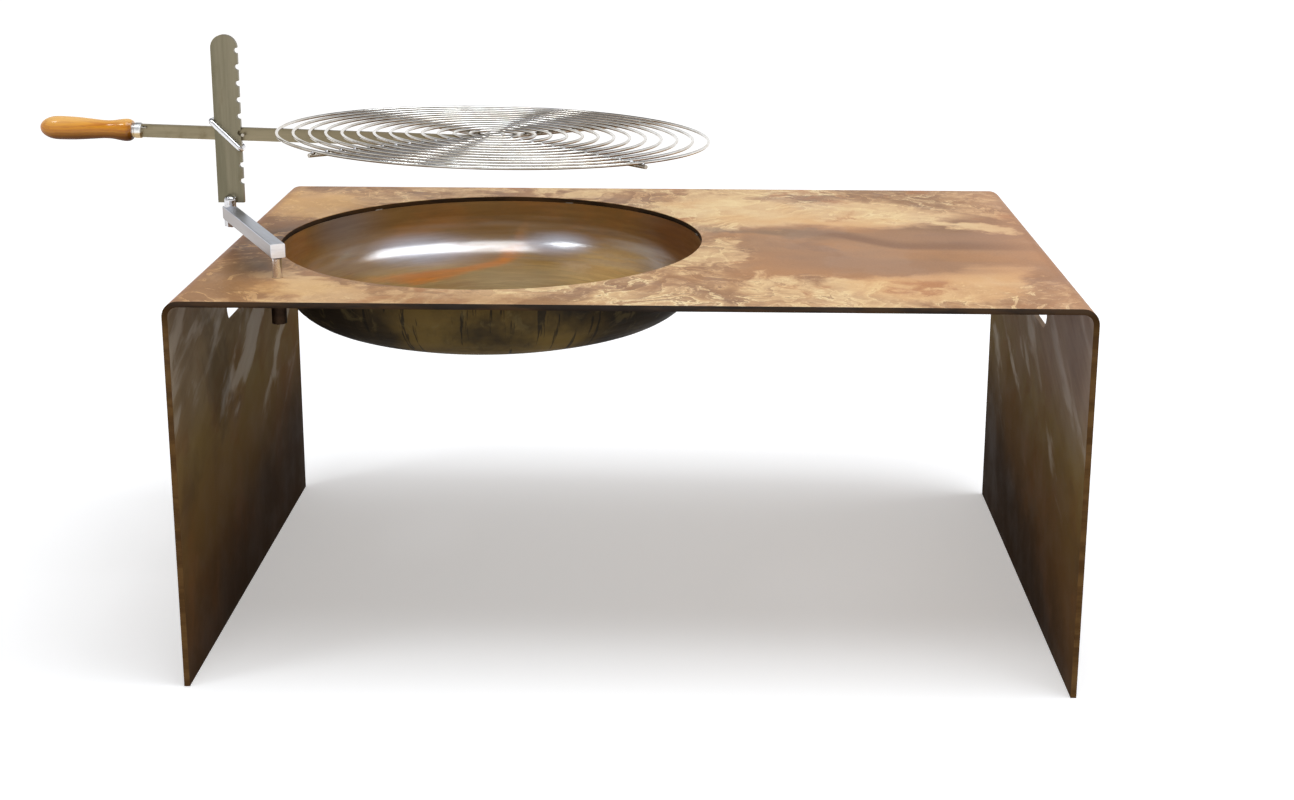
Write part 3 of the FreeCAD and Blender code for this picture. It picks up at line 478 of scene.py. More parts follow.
# %% Top of the plate
def patina_top(plate):
    """Lay down the top's colour, and return its cream fields, its relief and its specks."""
    place = plate.place
    x, y, _ = plate.split(place)
    wander, broad, warm, mauve, cream, ember, ripple = (
        plate.cloud(place, *numbers) for numbers in TOP_CLOUDS.values())
    zones, quiet = top_zones(plate, x, y, wander)
    plate.colour = plate.mix(plate.window(broad, 0.38, 0.60), srgb(178, 142, 106), srgb(146, 112, 80))
    plate.coat((190, 144, 94), plate.window(warm, 0.50, 0.64), 0.55)
    plate.coat((152, 122, 104), plate.window(mauve, 0.50, 0.66), 0.55)

    # wide cream fields, then petals of grey and cream over them, thickest where the patina gathers
    cream = plate.plus(cream, plate.times(zones, 0.13), plate.times(quiet, -0.20))
    cream_field = plate.window(cream, 0.545, 0.625)
    plate.coat((233, 203, 162), cream_field, 0.85)
    large, large_rim = petals(plate, (2.2, 0.4, 0.0), 4.6, 9.0)
    small, small_rim = petals(plate, (5.2, 3.4, 0.0), 13.0, 7.0, 0.58, 0.16)

    # two wide pale fields have few petals: one along the back, and one in the front right corner
    tear = plate.join(plate.times_plus(cream, 0.30, -0.16), plate.times_plus(mauve, 0.24, -0.12))
    ragged = plate.vector_maths("ADD", place, tear)
    pale = plate.larger(top_spot(plate, ragged, (0.43, 0.20), (0.32, 0.13), 0.45),
                        top_spot(plate, ragged, (0.59, -0.27), (0.15, 0.115), 0.4))
    plate.coat((232, 200, 160), pale, 0.8)
    plate.coat((208, 162, 108), pale, plate.window(warm, 0.46, 0.60), 0.5)
    petalled = plate.times(zones, plate.times_plus(pale, -0.72, 1.0))
    plate.coat((148, 116, 86), petalled, plate.window(mauve, 0.40, 0.56, 0.25, 1.0), 0.62,
               plate.rest(large))
    plate.coat((240, 211, 168), zones, 0.5, large)
    plate.coat((170, 132, 92), petalled, plate.window(broad, 0.42, 0.58, 0.25, 0.75), plate.rest(small))
    rims = plate.larger(large_rim, plate.times(small_rim, 0.5))
    plate.coat((250, 228, 192), petalled, plate.window(mauve, 0.46, 0.60, 0.06, 0.5), rims)
    smeared = plate.shift(ragged, (-0.33, -0.115, 0.0), (1, 1, 0), (0, 0, math.radians(12)))
    plate.coat((146, 120, 94), plate.spot(smeared, (0.0, 0.0, 0.0), (0.16, 0.045, 1.0), 0.8), 0.65)
    plate.coat((176, 124, 76), plate.window(ember, 0.58, 0.66), plate.window(zones, 0.1, 0.6, 0.2, 1.0),
               0.7)

    # the quiet field, with one dark streak of painted shadow that bends forward at its right
    soft = plate.cloud(plate.shift(place, (0.0, 2.0, 0.0), (0.5, 2.4, 1.0)), None, 2.8, 3.0, 0.5, 0.2, 2.0)
    plate.coat((170, 134, 102), quiet, plate.window(soft, 0.40, 0.62, 0.25, 0.9))
    painted_shadow_line = plate.minus(plate.plus(y, 0.040), plate.times(plate.window(x, 0.56, 0.42), 0.09))
    plate.coat((144, 108, 80), plate.band(painted_shadow_line, -0.030, -0.004, 0.008, 0.055),
               plate.band(x, 0.36, 0.48, 0.70, 0.80), 0.7)

    # pinker at the right end, more ochre left of the opening, with dark curls and soot by the arm
    plate.coat((196, 154, 120), plate.window(x, 0.62, 0.76), 0.45)
    west = plate.window(x, -0.20, -0.46)
    plate.coat((160, 118, 66), west, 0.45)
    west_front = plate.times(top_spot(plate, ragged, (-0.30, -0.33), (0.14, 0.06), 0.7), 0.6)
    west_back = top_spot(plate, ragged, (-0.40, 0.24), (0.13, 0.13), 0.6)
    plate.coat((220, 182, 128), plate.larger(west_back, west_front), 0.7)
    shaded = plate.larger(top_spot(plate, ragged, (-0.44, -0.28), (0.12, 0.15), 0.8),
                          top_spot(plate, ragged, (-0.02, -0.39), (0.30, 0.07), 0.8))
    plate.coat((162, 126, 82), shaded, 0.42)
    west_dark = top_spot(plate, ragged, (-0.425, -0.03), (0.10, 0.13), 0.8)
    plate.coat((108, 78, 50), west_dark, plate.rest(large), 0.8)
    plate.coat((236, 202, 150), west, large_rim, 0.35)

    # the fine grain of the rust, a little more contrast, and pale dots
    speck = plate.noise(place, 330.0, 2.0)
    plate.colour = plate.mix(0.28, plate.colour, plate.window(speck, 0.2, 0.8, 0.36, 0.64), "SOFT_LIGHT")
    plate.colour = plate.mix(0.40, plate.colour, plate.colour, "OVERLAY")
    plate.coat((246, 226, 196), plate.window(speck, 0.70, 0.76), zones, 0.6)
    plate.coat((102, 76, 48), top_spot(plate, place, (-0.405, -0.195), (0.06, 0.10), 1.0), 0.8)
    relief = plate.plus(plate.times(large, plate.times(zones, 0.35)),
                        plate.times(ripple, plate.window(zones, 0.0, 0.6, 0.20, 0.8)))
    return cream_field, relief, speck


# %% [markdown]
# The legs' sheen marks are painted highlights, pale tones in the colour, with a little real gloss in the
# coat. They all lean the same way, up towards the back, as if the plate had been wiped while it hung.
# So their noise is stretched along that slant before it is cut, and a finer noise, stretched much more,
# combs them into feathers. The legs are painted darker towards the floor, and the foot darker still
# towards the back, as painted shade.

# %% Legs of the plate
SLANT = math.radians(-25)
# the legs' own dark olive brown, painted darker towards the floor as painted shade
LEG_TONES = [(share_of_height, srgb(*tone)) for share_of_height, tone in (
    (0.0, (87, 60, 33)), (0.22, (86, 61, 34)), (0.42, (106, 80, 43)), (0.58, (121, 98, 57)),
    (0.76, (128, 107, 76)), (1.0, (129, 110, 89)))]


def patina_legs(plate):
    """Lay down the legs' colour, and return their painted sheen marks."""
    place = plate.place
    x, y, height = plate.split(place)
    plate.colour = plate.ramp(plate.maths("DIVIDE", height, float(top_level)), LEG_TONES)
    wide = plate.cloud(place, None, 3.0, 4.0, 0.55, 0.3, 2.5)
    plate.coat((100, 70, 38), plate.window(wide, 0.45, 0.65), 0.45)
    mottle = plate.cloud(place, (4.0, 7.0, 1.0), 7.0, 6.0, 0.62, 0.3, 5.0)
    plate.coat((110, 72, 38), plate.window(mottle, 0.50, 0.66), 0.40)

    leaning = plate.shift(place, turn=(SLANT, 0, 0))
    slant = plate.shift(leaning, (2.0, 0.5, 3.3), (1.0, 0.52, 1.6))
    combing = plate.shift(leaning, (0.0, 0.0, 1.0), (1.0, 0.10, 1.0))
    comb = plate.cloud(combing, None, 46.0, 4.0, 0.6, 0.02, 8.0)
    high = plate.window(height, 0.20, 0.46)
    mark = plate.plus(plate.cloud(slant, None, 8.0, 5.0, 0.55, 0.12, 6.0), plate.times(high, 0.07),
                      plate.times(plate.minus(comb, 0.5), 0.12))
    painted_sheen_marks = plate.times(plate.window(mark, 0.575, 0.69), plate.window(height, 0.14, 0.34))
    # painted highlight: the slanting sheen marks are painted pale into the colour
    plate.coat((166, 150, 128), painted_sheen_marks, 0.55)
    # painted highlight: a softer pale sheen painted on the upper legs
    soft = plate.cloud(slant, (5.0, 1.0, 1.0), 4.0, 3.0, 0.5, 0.1, 3.0)
    plate.coat((140, 121, 99), plate.window(soft, 0.5, 0.68), high, 0.35)
    dark = plate.cloud(place, (1.0, 4.0, 2.0), 4.6, 5.0, 0.58, 0.2, 3.0)
    plate.coat((66, 50, 34), plate.window(dark, 0.54, 0.68), 0.45)

    # the right leg is mauve outside, high up and towards the front
    plate.coat((154, 134, 124), plate.window(x, 0.70, 0.74), plate.window(height, 0.30, 0.46),
               plate.window(y, 0.20, -0.20, 0.4, 1.0), 0.6)
    combed = plate.window(comb, 0.3, 0.7, 0.34, 0.66)
    plate.colour = plate.mix(plate.times(high, 0.34), plate.colour, combed, "SOFT_LIGHT")
    # painted shade: the foot is painted darker still towards the floor and the back
    foot = plate.plus(height, plate.times(y, -0.26), plate.times(plate.minus(wide, 0.5), 0.25))
    plate.coat((46, 34, 25), plate.window(foot, 0.24, 0.02), 0.8)
    return painted_sheen_marks


# %% Put the plate's regions together
def make_plate_material():
    plate = Finish("weathered_plate")
    x, y, height = plate.split(plate.place)
    cream_field, relief, speck = patina_top(plate)
    top_colour = plate.colour
    painted_sheen_marks = patina_legs(plate)
    on_top = plate.window(height, top_level - 0.013, top_level - 0.0004)
    plate.colour = plate.mix(on_top, plate.colour, top_colour)

    # the two bends, the sawn edges and the wall of the opening
    across = plate.size(plate.minus(x, float(table_middle[0])))
    plate.coat((158, 104, 62), plate.window(across, half_width - 0.030, half_width - 0.012), on_top, 0.6)
    sawn = plate.window(plate.size(y), half_depth - 0.0012, half_depth - 0.0002)
    drawn_out = plate.shift(plate.place, (0.5, 0.1, 0.7), (1.0, 1.0, 6.0))
    burnt = plate.cloud(drawn_out, None, 9.0, 5.0, 0.6, 0.1, 4.0)
    sawn_top = plate.mix(plate.window(burnt, 0.40, 0.62), srgb(34, 23, 13), srgb(66, 45, 24))
    sawn_leg = plate.mix(plate.window(burnt, 0.35, 0.65), srgb(80, 56, 32), srgb(104, 76, 44))
    upper_edge = plate.window(height, top_level - 0.05, top_level - 0.012)
    plate.colour = plate.mix(sawn, plate.colour, plate.mix(upper_edge, sawn_leg, sawn_top))
    wall = plate.times(plate.window(from_fire(plate), 0.3236, 0.3228),
                       plate.window(height, top_level - 0.0003, top_level - 0.0012))
    plate.colour = plate.mix(wall, plate.colour, sawn_top)

    wear = plate.larger(plate.times(cream_field, 0.5), painted_sheen_marks)
    uneven = plate.cloud(plate.place, None, 14.0, 5.0, 0.6, 0.1, 6.0)
    return plate.done(
        Base_Color=plate.colour, Specular_IOR_Level=0.01,
        Roughness=plate.plus(plate.window(uneven, 0.3, 0.7, 0.56, 0.74), plate.times(wear, -0.06)),
        Coat_Weight=plate.times_plus(on_top, 0.32, plate.times(painted_sheen_marks, 0.10)), Coat_Roughness=0.30,
        Normal=plate.relief(plate.plus(relief, plate.times(speck, 0.15)), 0.35, 0.0009))


plate_material = make_plate_material()
print("plate nodes:", len(plate_material.node_tree.nodes))

# %% [markdown]
# ## The fire bowl
#
# The bowl was pressed and turned, so everything on it runs round its axis: the tone, the streaks and
# the fine ridges that smear the lamps' reflection into long bands. Polar coordinates, made from the
# place with an arc tangent, let one noise follow the round. Underneath it is nearly black, with dark
# runs that go down from the rim.

# %% Polar coordinates round the bowl's axis
def bowl_axes(bowl):
    """Place from the middle of the bowl's box, distance from its axis, and the way round."""
    centred = bowl.vector_maths("SUBTRACT", bowl.place, tuple(fire_middle))
    x, y, height = bowl.split(centred)
    radius = bowl.length(bowl.vector_maths("MULTIPLY", centred, (1, 1, 0)))
    angle = bowl.maths("ARCTAN2", y, x)
    return types.SimpleNamespace(x=x, height=height, radius=radius, cosine=bowl.maths("COSINE", angle),
                                 sine=bowl.maths("SINE", angle))


def polar(bowl, at, angle_scale, radius_scale, height_scale, seed=0.0):
    """Way round the bowl, distance from its axis and height, each with its own scale."""
    away = bowl.plus(bowl.times(at.radius, radius_scale), bowl.times_plus(at.height, height_scale, seed))
    return bowl.join(bowl.times(at.cosine, angle_scale), bowl.times(at.sine, angle_scale), away)


def from_rim(drop):
    """A height counted from the rim, in coordinates centred on the bowl's box."""
    return float(bowl_high[2] - fire_middle[2] + drop)


# %% Inside of the bowl
TONGUE_SLOPE, TONGUE_PLACE = 0.65, 0.289
BOWL_TONES = [(share_of_radius, srgb(*tone)) for share_of_radius, tone in (
    (0.0, (172, 150, 100)), (0.50, (176, 148, 92)), (0.80, (178, 142, 80)), (0.93, (150, 110, 56)),
    (1.0, (126, 92, 48)))]
# the brown right wall, a cold grey patch under the far left rim, a painted highlight where the lamps'
# sheen spreads pale golden in the deep, and a pale golden patch in the deep
BOWL_SPOTS = (
    # tone, middle, reach, soft share, thickness
    ((118, 74, 32), (0.20, 0.12, 0.53), (0.11, 0.24, 0.07), 0.8, 0.9),
    ((134, 124, 122), (-0.31, 0.17, 0.54), (0.15, 0.10, 0.06), 1.0, 0.75),
    # painted highlight: the lamps' sheen spreading pale golden at the right of the deep
    ((232, 188, 118), (0.085, 0.205, 0.462), (0.13, 0.15, 0.05), 0.9, 0.85),
    ((214, 188, 144), (-0.07, 0.21, 0.442), (0.16, 0.08, 0.03), 0.9, 0.5),
)


def bowl_inside(bowl, at):
    """Lay down the inside's colour, and return its patches and its relief."""
    place = bowl.place
    bands = polar(bowl, at, 1.1, 9.0, 9.0)
    rounds = bowl.cloud(bands, None, 1.3, 5.0, 0.6, 0.25, 1.0)
    bowl.colour = bowl.ramp(bowl.maths("DIVIDE", at.radius, 0.326), BOWL_TONES)
    bowl.coat((164, 108, 50), bowl.window(rounds, 0.50, 0.68), 0.55)
    bowl.coat((150, 136, 100), bowl.window(rounds, 0.47, 0.32), 0.5)

    # a ragged tongue of orange scale in the deep part
    middle_line = bowl.times_plus(at.x, TONGUE_SLOPE, TONGUE_PLACE)
    aside = bowl.plus(bowl.minus(bowl.split(place)[1], middle_line), bowl.times_plus(rounds, 0.08, -0.04))
    bowl.coat((218, 132, 42), bowl.band(aside, -0.026, -0.006, 0.004, 0.022),
              bowl.band(at.x, -0.26, -0.14, -0.02, 0.035), 0.95)
    for tone, middle, reach, soft, thickness in BOWL_SPOTS:
        bowl.coat(tone, bowl.spot(place, middle, reach, soft), thickness)
    # a painted reflection: a bluish patch on the back wall, where the long reflection of the lamps ends
    painted_reflection = bowl.larger(bowl.spot(place, (-0.22, 0.25, 0.480), (0.17, 0.09, 0.034), 0.9),
                       bowl.spot(place, (0.0, 0.295, 0.485), (0.10, 0.06, 0.024), 0.9))
    bowl.coat((204, 206, 220), painted_reflection, bowl.window(rounds, 0.38, 0.56, 0.45, 1.0), 0.85)

    ridges = bowl.noise(polar(bowl, at, 3.0, 110.0, 110.0, 3.0), 1.0, 4.0, 0.6)
    bowl.colour = bowl.mix(0.30, bowl.colour, bowl.window(ridges, 0.3, 0.7, 0.3, 0.7), "SOFT_LIGHT")
    patches = bowl.cloud(polar(bowl, at, 2.4, 60.0, 60.0, 7.0), None, 1.2, 6.0, 0.62, 0.5, 1.2)
    waves = bowl.cloud(bands, None, 2.0, 3.0, 0.5, 0.5, 2.0)
    return patches, bowl.plus(bowl.times(ridges, 0.06), waves)


# %% Underside of the bowl
def bowl_under(bowl, at):
    """Nearly black scale, olive brown towards the middle of the front, with thin dark runs there."""
    clouds = bowl.cloud(polar(bowl, at, 1.6, 5.0, 4.0, 9.0), None, 1.4, 5.0, 0.6)
    middle = bowl.window(bowl.size(bowl.minus(at.x, 0.03)), 0.24, 0.07, 0.04, 1.0)
    olive = bowl.times(bowl.window(clouds, 0.34, 0.70), middle)
    bowl.colour = bowl.mix(olive, srgb(29, 22, 14), srgb(102, 81, 39))
    runs = bowl.cloud(polar(bowl, at, 16.0, 0.0, 5.0, 5.0), None, 2.2, 4.0, 0.6, 0.5, 1.6)
    near_rim = bowl.window(at.height, from_rim(-0.11), from_rim(-0.02))
    runs = bowl.plus(runs, bowl.times(near_rim, 0.05), bowl.times(middle, 0.03))
    bowl.coat((20, 15, 9), bowl.window(runs, 0.635, 0.685), 0.8)
    bloom = bowl.cloud(bowl.place, None, 30.0, 6.0, 0.65, 0.1, 9.0)
    bowl.coat((106, 92, 58), bowl.window(bloom, 0.54, 0.64), near_rim, 0.4)


# %% [markdown]
# Inside and outside share one mesh, so a mask has to tell them apart. The wall is a dished end: a flat
# crown, a tight knuckle and an upright rim. Half way through the wall these are two arcs and a line,
# and a point belongs to the outside when it lies beyond the one of them that it is next to.

# %% Outside of the bowl's wall
CROWN_RADIUS, KNUCKLE_RADIUS, RIM_HEIGHT = 0.848, 0.078, 0.024
WALL_RADIUS = 0.323
knuckle_circle = WALL_RADIUS - KNUCKLE_RADIUS
crown_rise = math.sqrt((CROWN_RADIUS - KNUCKLE_RADIUS) ** 2 - knuckle_circle ** 2)
crown_edge = CROWN_RADIUS * knuckle_circle / (CROWN_RADIUS - KNUCKLE_RADIUS)


def bowl_outside(bowl, at):
    """One on the outside of the wall, zero on the inside.

    Beyond the crown's edge: distance to the knuckle's circle, with heights above it counted as none.
    Within the crown's edge: distance to the crown's centre. Each less its own radius.
    """
    height = bowl.minus(bowl.split(bowl.place)[2], float(plate_under) - RIM_HEIGHT)
    below = bowl.maths("MINIMUM", height, 0.0)
    to_knuckle = bowl.length(bowl.join(bowl.minus(at.radius, knuckle_circle), below))
    to_crown = bowl.length(bowl.join(at.radius, bowl.minus(height, crown_rise)))
    beyond = {3: bowl.minus(to_knuckle, KNUCKLE_RADIUS), 2: bowl.minus(to_crown, CROWN_RADIUS),
              0: bowl.maths("GREATER_THAN", at.radius, crown_edge)}
    return bowl.window(bowl.add("Mix", beyond, data_type="FLOAT").outputs[0], -0.0006, 0.0006)


# %% Bowl material
def make_bowl_material():
    bowl = Finish("fire_bowl_steel")
    at = bowl_axes(bowl)
    patches, relief = bowl_inside(bowl, at)
    inside_colour = bowl.colour
    bowl_under(bowl, at)
    outside = bowl_outside(bowl, at)
    inside = bowl.rest(outside)
    gloss = bowl.times(bowl.window(patches, 0.36, 0.56, 0.40, 1.0),
                       bowl.window(at.height, from_rim(-0.046), from_rim(-0.067), 0.15, 1.0),
                       bowl.window(bowl.size(at.x), 0.290, 0.245, 0.25, 1.0))
    return bowl.done(
        Base_Color=bowl.mix(outside, inside_colour, bowl.colour), Metallic=bowl.times(inside, 0.20),
        Roughness=bowl.plus(bowl.window(patches, 0.35, 0.65, 0.34, 0.50), bowl.times(outside, 0.20)),
        Specular_IOR_Level=0.12, Coat_Weight=bowl.times(inside, gloss), Coat_Roughness=0.19,
        Coat_IOR=3.4, Normal=bowl.relief(relief, 0.35, 0.0012))


bowl_material = make_bowl_material()
print("bowl nodes:", len(bowl_material.node_tree.nodes))


# %% [markdown]
# ## How the grate leans
#
# The grate's bar sags a little to the right and the grate leans back on it. Two steps need its middle
# and its upward direction, the wires' painted shade and their welds, so both are measured on the
# imported meshes: a rod's line is the longest direction of its points, and the grate's plane holds two
# such lines.

# %% Measure the leaning grate
def mesh_points(name):
    points = np.empty(len(nodes[name].data.vertices) * 3)
    nodes[name].data.vertices.foreach_get("co", points)
    return points.reshape(-1, 3)


def rod_line(name):
    """The direction of a rod, towards the right."""
    points = mesh_points(name)
    line = np.linalg.svd(points - points.mean(axis=0), full_matrices=False)[2][0]
    return line * np.sign(line[0])


long_line, front_line, back_line = (rod_line("cross_rod_" + name) for name in ("long", "front", "back"))
grate_up = np.cross(long_line, front_line)
grate_up *= np.sign(grate_up[2]) / np.linalg.norm(grate_up)
grate_middle = sum(box_of("grate_ring_01")) / 2
wire_radius = float(np.ptp(mesh_points("grate_ring_01") @ grate_up)) / 2
print("grate middle:", np.round(grate_middle, 4), " up:", np.round(grate_up, 4),
      " wire radius:", round(wire_radius, 5))

# %% [markdown]
# ## Bright metals
#
# The upright and the grate's bar are ground stainless flat bar, a warm grey with faint lines along the
# bar. The arm is lighter and cooler, and the rods, the wires and the turned fittings are brighter
# still. Three of them get a tone painted below a level: the arm's sides are painted greyer than its
# top and the wires are painted brown underneath, both as painted shade, and the ferrule's lower part is
# painted golden, as a painted reflection. One function makes all of them from a pair of tones, a pair
# of roughnesses and the direction of the grinding lines.

# %% Ground and drawn steel
def make_metal(name, dark, light, rough, turn=(0, 0, 0), stretch=(1, 1, 1), fineness=60.0, bump=0.15,
               stain=None, stain_amount=0.0, painted_light_below=None, level=None):
    """Steel whose tone and roughness follow a grain; stretch is small along the grain's lines.

    A tone of painted light, painted shade or a painted reflection, covers what lies below a level:
    (a point of it, its upward direction, where the tone begins, where it is full), the last two as
    heights above that point.
    """
    steel = Finish(name)
    along = steel.shift(steel.shift(steel.place, turn=turn), (0.3, 0.7, 0.1), stretch)
    grain = steel.group(grain_group, {"Vector": along, "Fineness": fineness})
    steel.colour = steel.mix(steel.window(grain["Tone"], 0.36, 0.64), srgb(*dark), srgb(*light))
    if stain:
        spots = steel.cloud(steel.place, None, 16.0, 5.0, 0.6, 0.15, 8.0)
        steel.coat(stain, steel.window(spots, 0.5, 0.68), stain_amount)
    # painted light: a tone painted below a level, standing for shade or a reflection there
    if painted_light_below:
        origin, upward, begins, ends = level
        above = steel.shift(steel.place, tuple(-origin))
        height = steel.add("VectorMath", {0: above, 1: tuple(upward)}, operation="DOT_PRODUCT")
        patch = steel.minus(steel.cloud(steel.place, None, 9.0, 4.0, 0.6, 0.2, 6.0), 0.5)
        wavy = steel.times_plus(patch, 2 * (begins - ends), height.outputs["Value"])
        steel.coat(painted_light_below, steel.window(wavy, begins, ends), 0.9)
    return steel.done(Base_Color=steel.colour, Metallic=1.0,
                      Roughness=steel.window(grain["Tone"], 0.3, 0.7, *rough),
                      Normal=steel.relief(grain["Height"], bump, 0.0003))


# %% The metals of the barbecue
ARM_TURN = math.radians(27)
UP = (0.0, 0.0, 1.0)
arm_high = box_of("swing_arm")[1]
ferrule_middle = sum(box_of("ferrule")) / 2
metal_sheets = {
    "upright_steel": dict(dark=(108, 103, 84), light=(138, 130, 109), rough=(0.28, 0.44),
                          stretch=(1, 1, 0.06), fineness=90.0, stain=(104, 94, 70), stain_amount=0.5),
    "flat_bar_steel": dict(dark=(114, 105, 82), light=(148, 137, 112), rough=(0.26, 0.42),
                           stretch=(0.06, 1, 1), fineness=90.0, stain=(104, 90, 62), stain_amount=0.5),
    "swing_steel": dict(dark=(172, 174, 180), light=(214, 218, 228), rough=(0.24, 0.42),
                        turn=(0, 0, -ARM_TURN), stretch=(1, 0.06, 1), fineness=110.0,
                        stain=(150, 146, 142), stain_amount=0.35,
                        # painted shade: the arm's sides are painted greyer than its top
                        painted_light_below=(152, 143, 138), level=(arm_high, UP, -0.0008, -0.0020)),
    "cap_steel": dict(dark=(206, 210, 220), light=(244, 248, 255), rough=(0.26, 0.40),
                      stretch=(0.10, 0.10, 1), fineness=190.0, bump=0.5),
    "ferrule_steel": dict(dark=(196, 194, 190), light=(250, 250, 248), rough=(0.26, 0.42),
                          fineness=230.0, bump=0.5,
                          # painted reflection: the ferrule's lower part is painted golden
                          painted_light_below=(190, 160, 108), level=(ferrule_middle, UP, -0.0010, -0.0045)),
    "rod_steel": dict(dark=(150, 142, 128), light=(206, 200, 190), rough=(0.16, 0.30), fineness=130.0,
                      stain=(120, 104, 84), stain_amount=0.4),
    "wire_steel": dict(dark=(216, 208, 196), light=(244, 243, 240), rough=(0.13, 0.20), fineness=40.0,
                       bump=0.02, stain=(186, 178, 162), stain_amount=0.25,
                       # painted shade: the wires are painted brown underneath
                       painted_light_below=(112, 96, 66), level=(grate_middle, grate_up, 0.0009, -0.0012)),
    "ring_steel": dict(dark=(222, 222, 224), light=(242, 242, 244), rough=(0.13, 0.22), fineness=60.0,
                       bump=0.03, stain=(190, 184, 172), stain_amount=0.25),
    "polished_steel": dict(dark=(176, 174, 172), light=(222, 222, 226), rough=(0.08, 0.2),
                           fineness=200.0, bump=0.08),
    "socket_steel": dict(dark=(34, 26, 20), light=(62, 46, 34), rough=(0.5, 0.7), fineness=90.0),
    "weld_metal": dict(dark=(66, 52, 40), light=(124, 112, 98), rough=(0.35, 0.55), fineness=260.0,
                       bump=0.5),
    "bright_weld": dict(dark=(150, 146, 140), light=(240, 240, 244), rough=(0.10, 0.26),
                        fineness=240.0, bump=0.35, stain=(70, 60, 48), stain_amount=0.5),
}
metals = {name: make_metal(name, **sheet) for name, sheet in metal_sheets.items()}
print("metals:", len(metals))

# %% [markdown]
# ## The handle's wood
#
# The handle is turned hardwood under clear varnish. Its grain runs along the handle and bends into
# ovals where the turning cuts across the rings. A wave of rings round an axis that is a little off the
# handle's own gives that, and a coat on top gives the wet shine. The underside is painted dark brown,
# as painted shade, and a pale band along the top is a painted highlight.

# %% Varnished wood
def make_wood_material():
    wood = Finish("turned_wood")
    low, high = box_of("wooden_handle")
    middle = (low + high) / 2
    off_axis = wood.shift(wood.place, (-middle[0], -middle[1] + 0.022, -middle[2] - 0.016))
    stretched = wood.shift(off_axis, scale=(0.12, 1.0, 1.0))
    wander = wood.noise(stretched, 34.0, 3.0)
    rings = wood.add("TexWave", {"Vector": stretched, "Scale": 62.0, "Distortion": 3.2, "Detail": 3.0,
                                 "Detail Scale": 1.6}, wave_type="RINGS", rings_direction="X")
    fibre = wood.noise(wood.shift(wood.place, scale=(0.05, 1, 1)), 700.0, 3.0)
    wood.colour = wood.mix(wood.window(rings.outputs["Fac"], 0.2, 0.9), srgb(220, 142, 18),
                           srgb(196, 112, 12))
    wood.coat((222, 146, 38), wood.window(wander, 0.4, 0.65, 0.0, 0.55))
    wood.coat((150, 80, 18), wood.window(fibre, 0.52, 0.72, 0.0, 0.28))

    along, _, height = wood.split(wood.place)
    wood.coat((120, 62, 22), wood.window(along, high[0] - 0.010, high[0] - 0.001), 0.55)
    level = wood.times_plus(wander, 0.012, height)
    # painted shade: the underside of the handle is painted dark brown
    under = wood.window(level, middle[2] + 0.012, middle[2] - 0.008)
    wood.coat((72, 32, 3), under, 0.92)
    # painted highlight: a pale band painted along the top of the handle
    wood.coat((255, 204, 128), wood.window(level, middle[2] + 0.010, middle[2] + 0.022), 0.75)
    return wood.done(Base_Color=wood.colour, Roughness=wood.window(fibre, 0.3, 0.7, 0.32, 0.48),
                     Coat_Weight=wood.window(under, 0.0, 1.0, 0.8, 0.10), Coat_Roughness=0.035,
                     Coat_IOR=1.5, Specular_IOR_Level=0.05, Normal=wood.relief(fibre, 0.04, 0.0002))


wood_material = make_wood_material()
print("wood nodes:", len(wood_material.node_tree.nodes))

# %% [markdown]
# ## Weld metal on the bright steel
#
# On the real grate a small bead of weld holds each ring to each rod, just outside the ring, and a
# thicker bead runs down both sides of the swivel's head where it is welded to the upright. A bead is a
# drop of frozen metal, so each is a closed skin of rings of points: a rounded drop on the grate, and a
# rippled string on the upright.

# %% Skins of beads
def bead_skins(name, rings):
    """One mesh of closed skins from an array (bead, ring, point, 3); the end rings are poles."""
    beads, rows, columns, _ = rings.shape
    count = (rows - 2) * columns + 2
    middle = rings[:, 1:-1].reshape(beads, -1, 3)
    points = np.concatenate([rings[:, :1, 0], middle, rings[:, -1:, 0]], axis=1).reshape(-1, 3)
    row, column = np.meshgrid(np.arange(rows - 3), np.arange(columns), indexing="ij")
    here, after = row * columns + column, row * columns + (column + 1) % columns
    quads = 1 + np.stack([here, after, after + columns, here + columns], axis=-1).reshape(-1, 4)
    along = np.arange(columns)
    beside = (along + 1) % columns
    last = 1 + (rows - 3) * columns
    caps = np.concatenate([np.stack([0 * along, 1 + beside, 1 + along], axis=1),
                           np.stack([0 * along + count - 1, last + along, last + beside], axis=1)])
    starts = (np.arange(beads) * count)[:, None, None]
    faces = (starts + quads).reshape(-1, 4).tolist() + (starts + caps).reshape(-1, 3).tolist()
    mesh = bpy.data.meshes.new(name)
    mesh.from_pydata(points.tolist(), [], faces)
    mesh.polygons.foreach_set("use_smooth", [True] * len(faces))
    piece = bpy.data.objects.new(name, mesh)
    bpy.context.scene.collection.objects.link(piece)
    return piece


# %% A drop of weld beside each ring on each rod
DROP_REACH = (0.0028, 0.0034, 0.0022)
DROP_OUTSIDE, DROP_BELOW = 0.0023, 0.0018


def weld_drops(centres, outward, up, reach):
    """Ovals: centre + cos(v)(a cos(u) outward + b sin(u) along) + c sin(v) up, reach = (a, b, c)."""
    around, upward = np.meshgrid(np.linspace(0, 2 * np.pi, 10, endpoint=False),
                                 np.linspace(-np.pi / 2, np.pi / 2, 7), indexing="xy")
    shares = np.stack([np.cos(upward) * np.cos(around), np.cos(upward) * np.sin(around),
                       np.sin(upward)], axis=-1) * reach
    axes = np.stack([outward, np.cross(up, outward), np.broadcast_to(up, outward.shape)], axis=1)
    return centres[:, None, None, :] + np.einsum("rcs,bsk->brck", shares, axes)


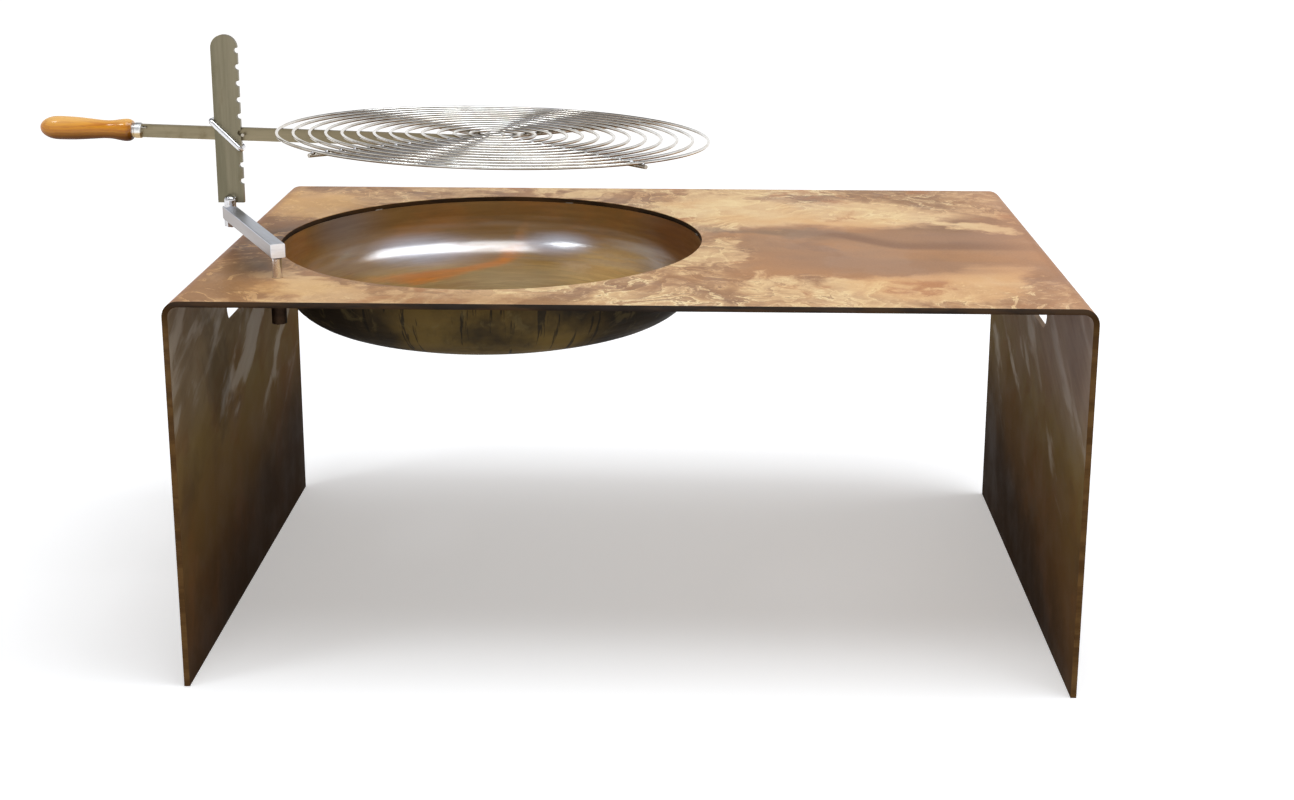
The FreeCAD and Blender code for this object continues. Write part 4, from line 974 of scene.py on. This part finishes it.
front_arm = front_line * -np.sign(front_line[1])
back_arm = back_line * np.sign(back_line[1])
ring_names = sorted(name for name in nodes if name.startswith("grate_ring_"))
ring_radii = np.array([np.ptp(mesh_points(name) @ long_line) / 2 - wire_radius for name in ring_names])
outward = np.repeat(np.stack([long_line, -long_line, front_arm, back_arm]), len(ring_radii), axis=0)
distance = np.tile(ring_radii, 4)[:, None] + DROP_OUTSIDE
drop_centres = grate_middle + distance * outward - DROP_BELOW * grate_up
ring_welds = bead_skins("ring_welds", weld_drops(drop_centres, outward, grate_up, DROP_REACH))
print("drops of weld:", len(drop_centres), " faces:", len(ring_welds.data.polygons))

# %% The beads beside the swivel's head
STRING_THICKNESS, STRING_RIPPLES = 0.0017, 4
STRING_ASIDE, STRING_INTO_BAR, ABOVE_FOOT, BELOW_HEAD = 0.0062, 0.0004, 0.0012, 0.0030


def weld_string(start, end, thickness, ripples):
    """A tube from start to end, with t from 0 to 1 along it.

    Radius = thickness (1 - 0.14 |cos(pi ripples t)|) sqrt(1 - |2t - 1|^6): it swells once in each
    ripple, and both ends close round.
    """
    t = np.linspace(0.0, 1.0, 8 * ripples + 1)
    radius = thickness * (1 - 0.14 * np.abs(np.cos(np.pi * ripples * t)))
    radius = radius * np.sqrt(1 - np.abs(2 * t - 1) ** 6)
    line = start + t[:, None] * (end - start)
    ahead = (end - start) / np.linalg.norm(end - start)
    side = np.cross(ahead, (0.0, 1.0, 0.0))
    other = np.cross(ahead, side)
    turn = np.linspace(0, 2 * np.pi, 12, endpoint=False)
    circle = np.cos(turn)[:, None] * side + np.sin(turn)[:, None] * other
    return line[:, None, :] + radius[:, None, None] * circle[None]


stud_low, stud_high = box_of("swivel_stud")
bar_low, _ = box_of("upright_bar")
strings = []
for side in (-1, 1):
    x, y = (stud_low[0] + stud_high[0]) / 2 + side * STRING_ASIDE, bar_low[1] - STRING_INTO_BAR
    foot, head = bar_low[2] + ABOVE_FOOT, stud_high[2] - BELOW_HEAD
    strings.append(weld_string(np.array([x, y, foot]), np.array([x, y, head]), STRING_THICKNESS,
                               STRING_RIPPLES))
stud_weld = bead_skins("stud_weld", np.stack(strings))
for piece, body in ((ring_welds, "grill"), (stud_weld, "upright")):
    piece.data.materials.append(metals["bright_weld"])
    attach(piece, body)
print("string faces:", len(stud_weld.data.polygons))

# %% [markdown]
# ## Dress the model's own pieces
#
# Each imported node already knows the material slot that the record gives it. The finish for a slot goes
# into the node's own material slot, and the mesh stays as it is. Five nodes look unlike the others of
# their slot in the photo, so they get a finish of their own.

# %% Give each node its finish
finishes = dict(metals, weathered_plate=plate_material, fire_bowl_steel=bowl_material,
                turned_wood=wood_material)
slot_of = {entry["node"]: entry["material_slot"] for entry in frame["record"]["subparts"]}
finish_of = {"upright_bar": "upright_steel", "lock_ring": "ring_steel", "swing_post": "ring_steel",
             "arm_front_cap": "cap_steel", "ferrule": "ferrule_steel"}
for name, piece in nodes.items():
    piece.data.materials.clear()
    piece.data.materials.append(finishes[finish_of.get(name, slot_of[name])])
print("dressed:", len(nodes))
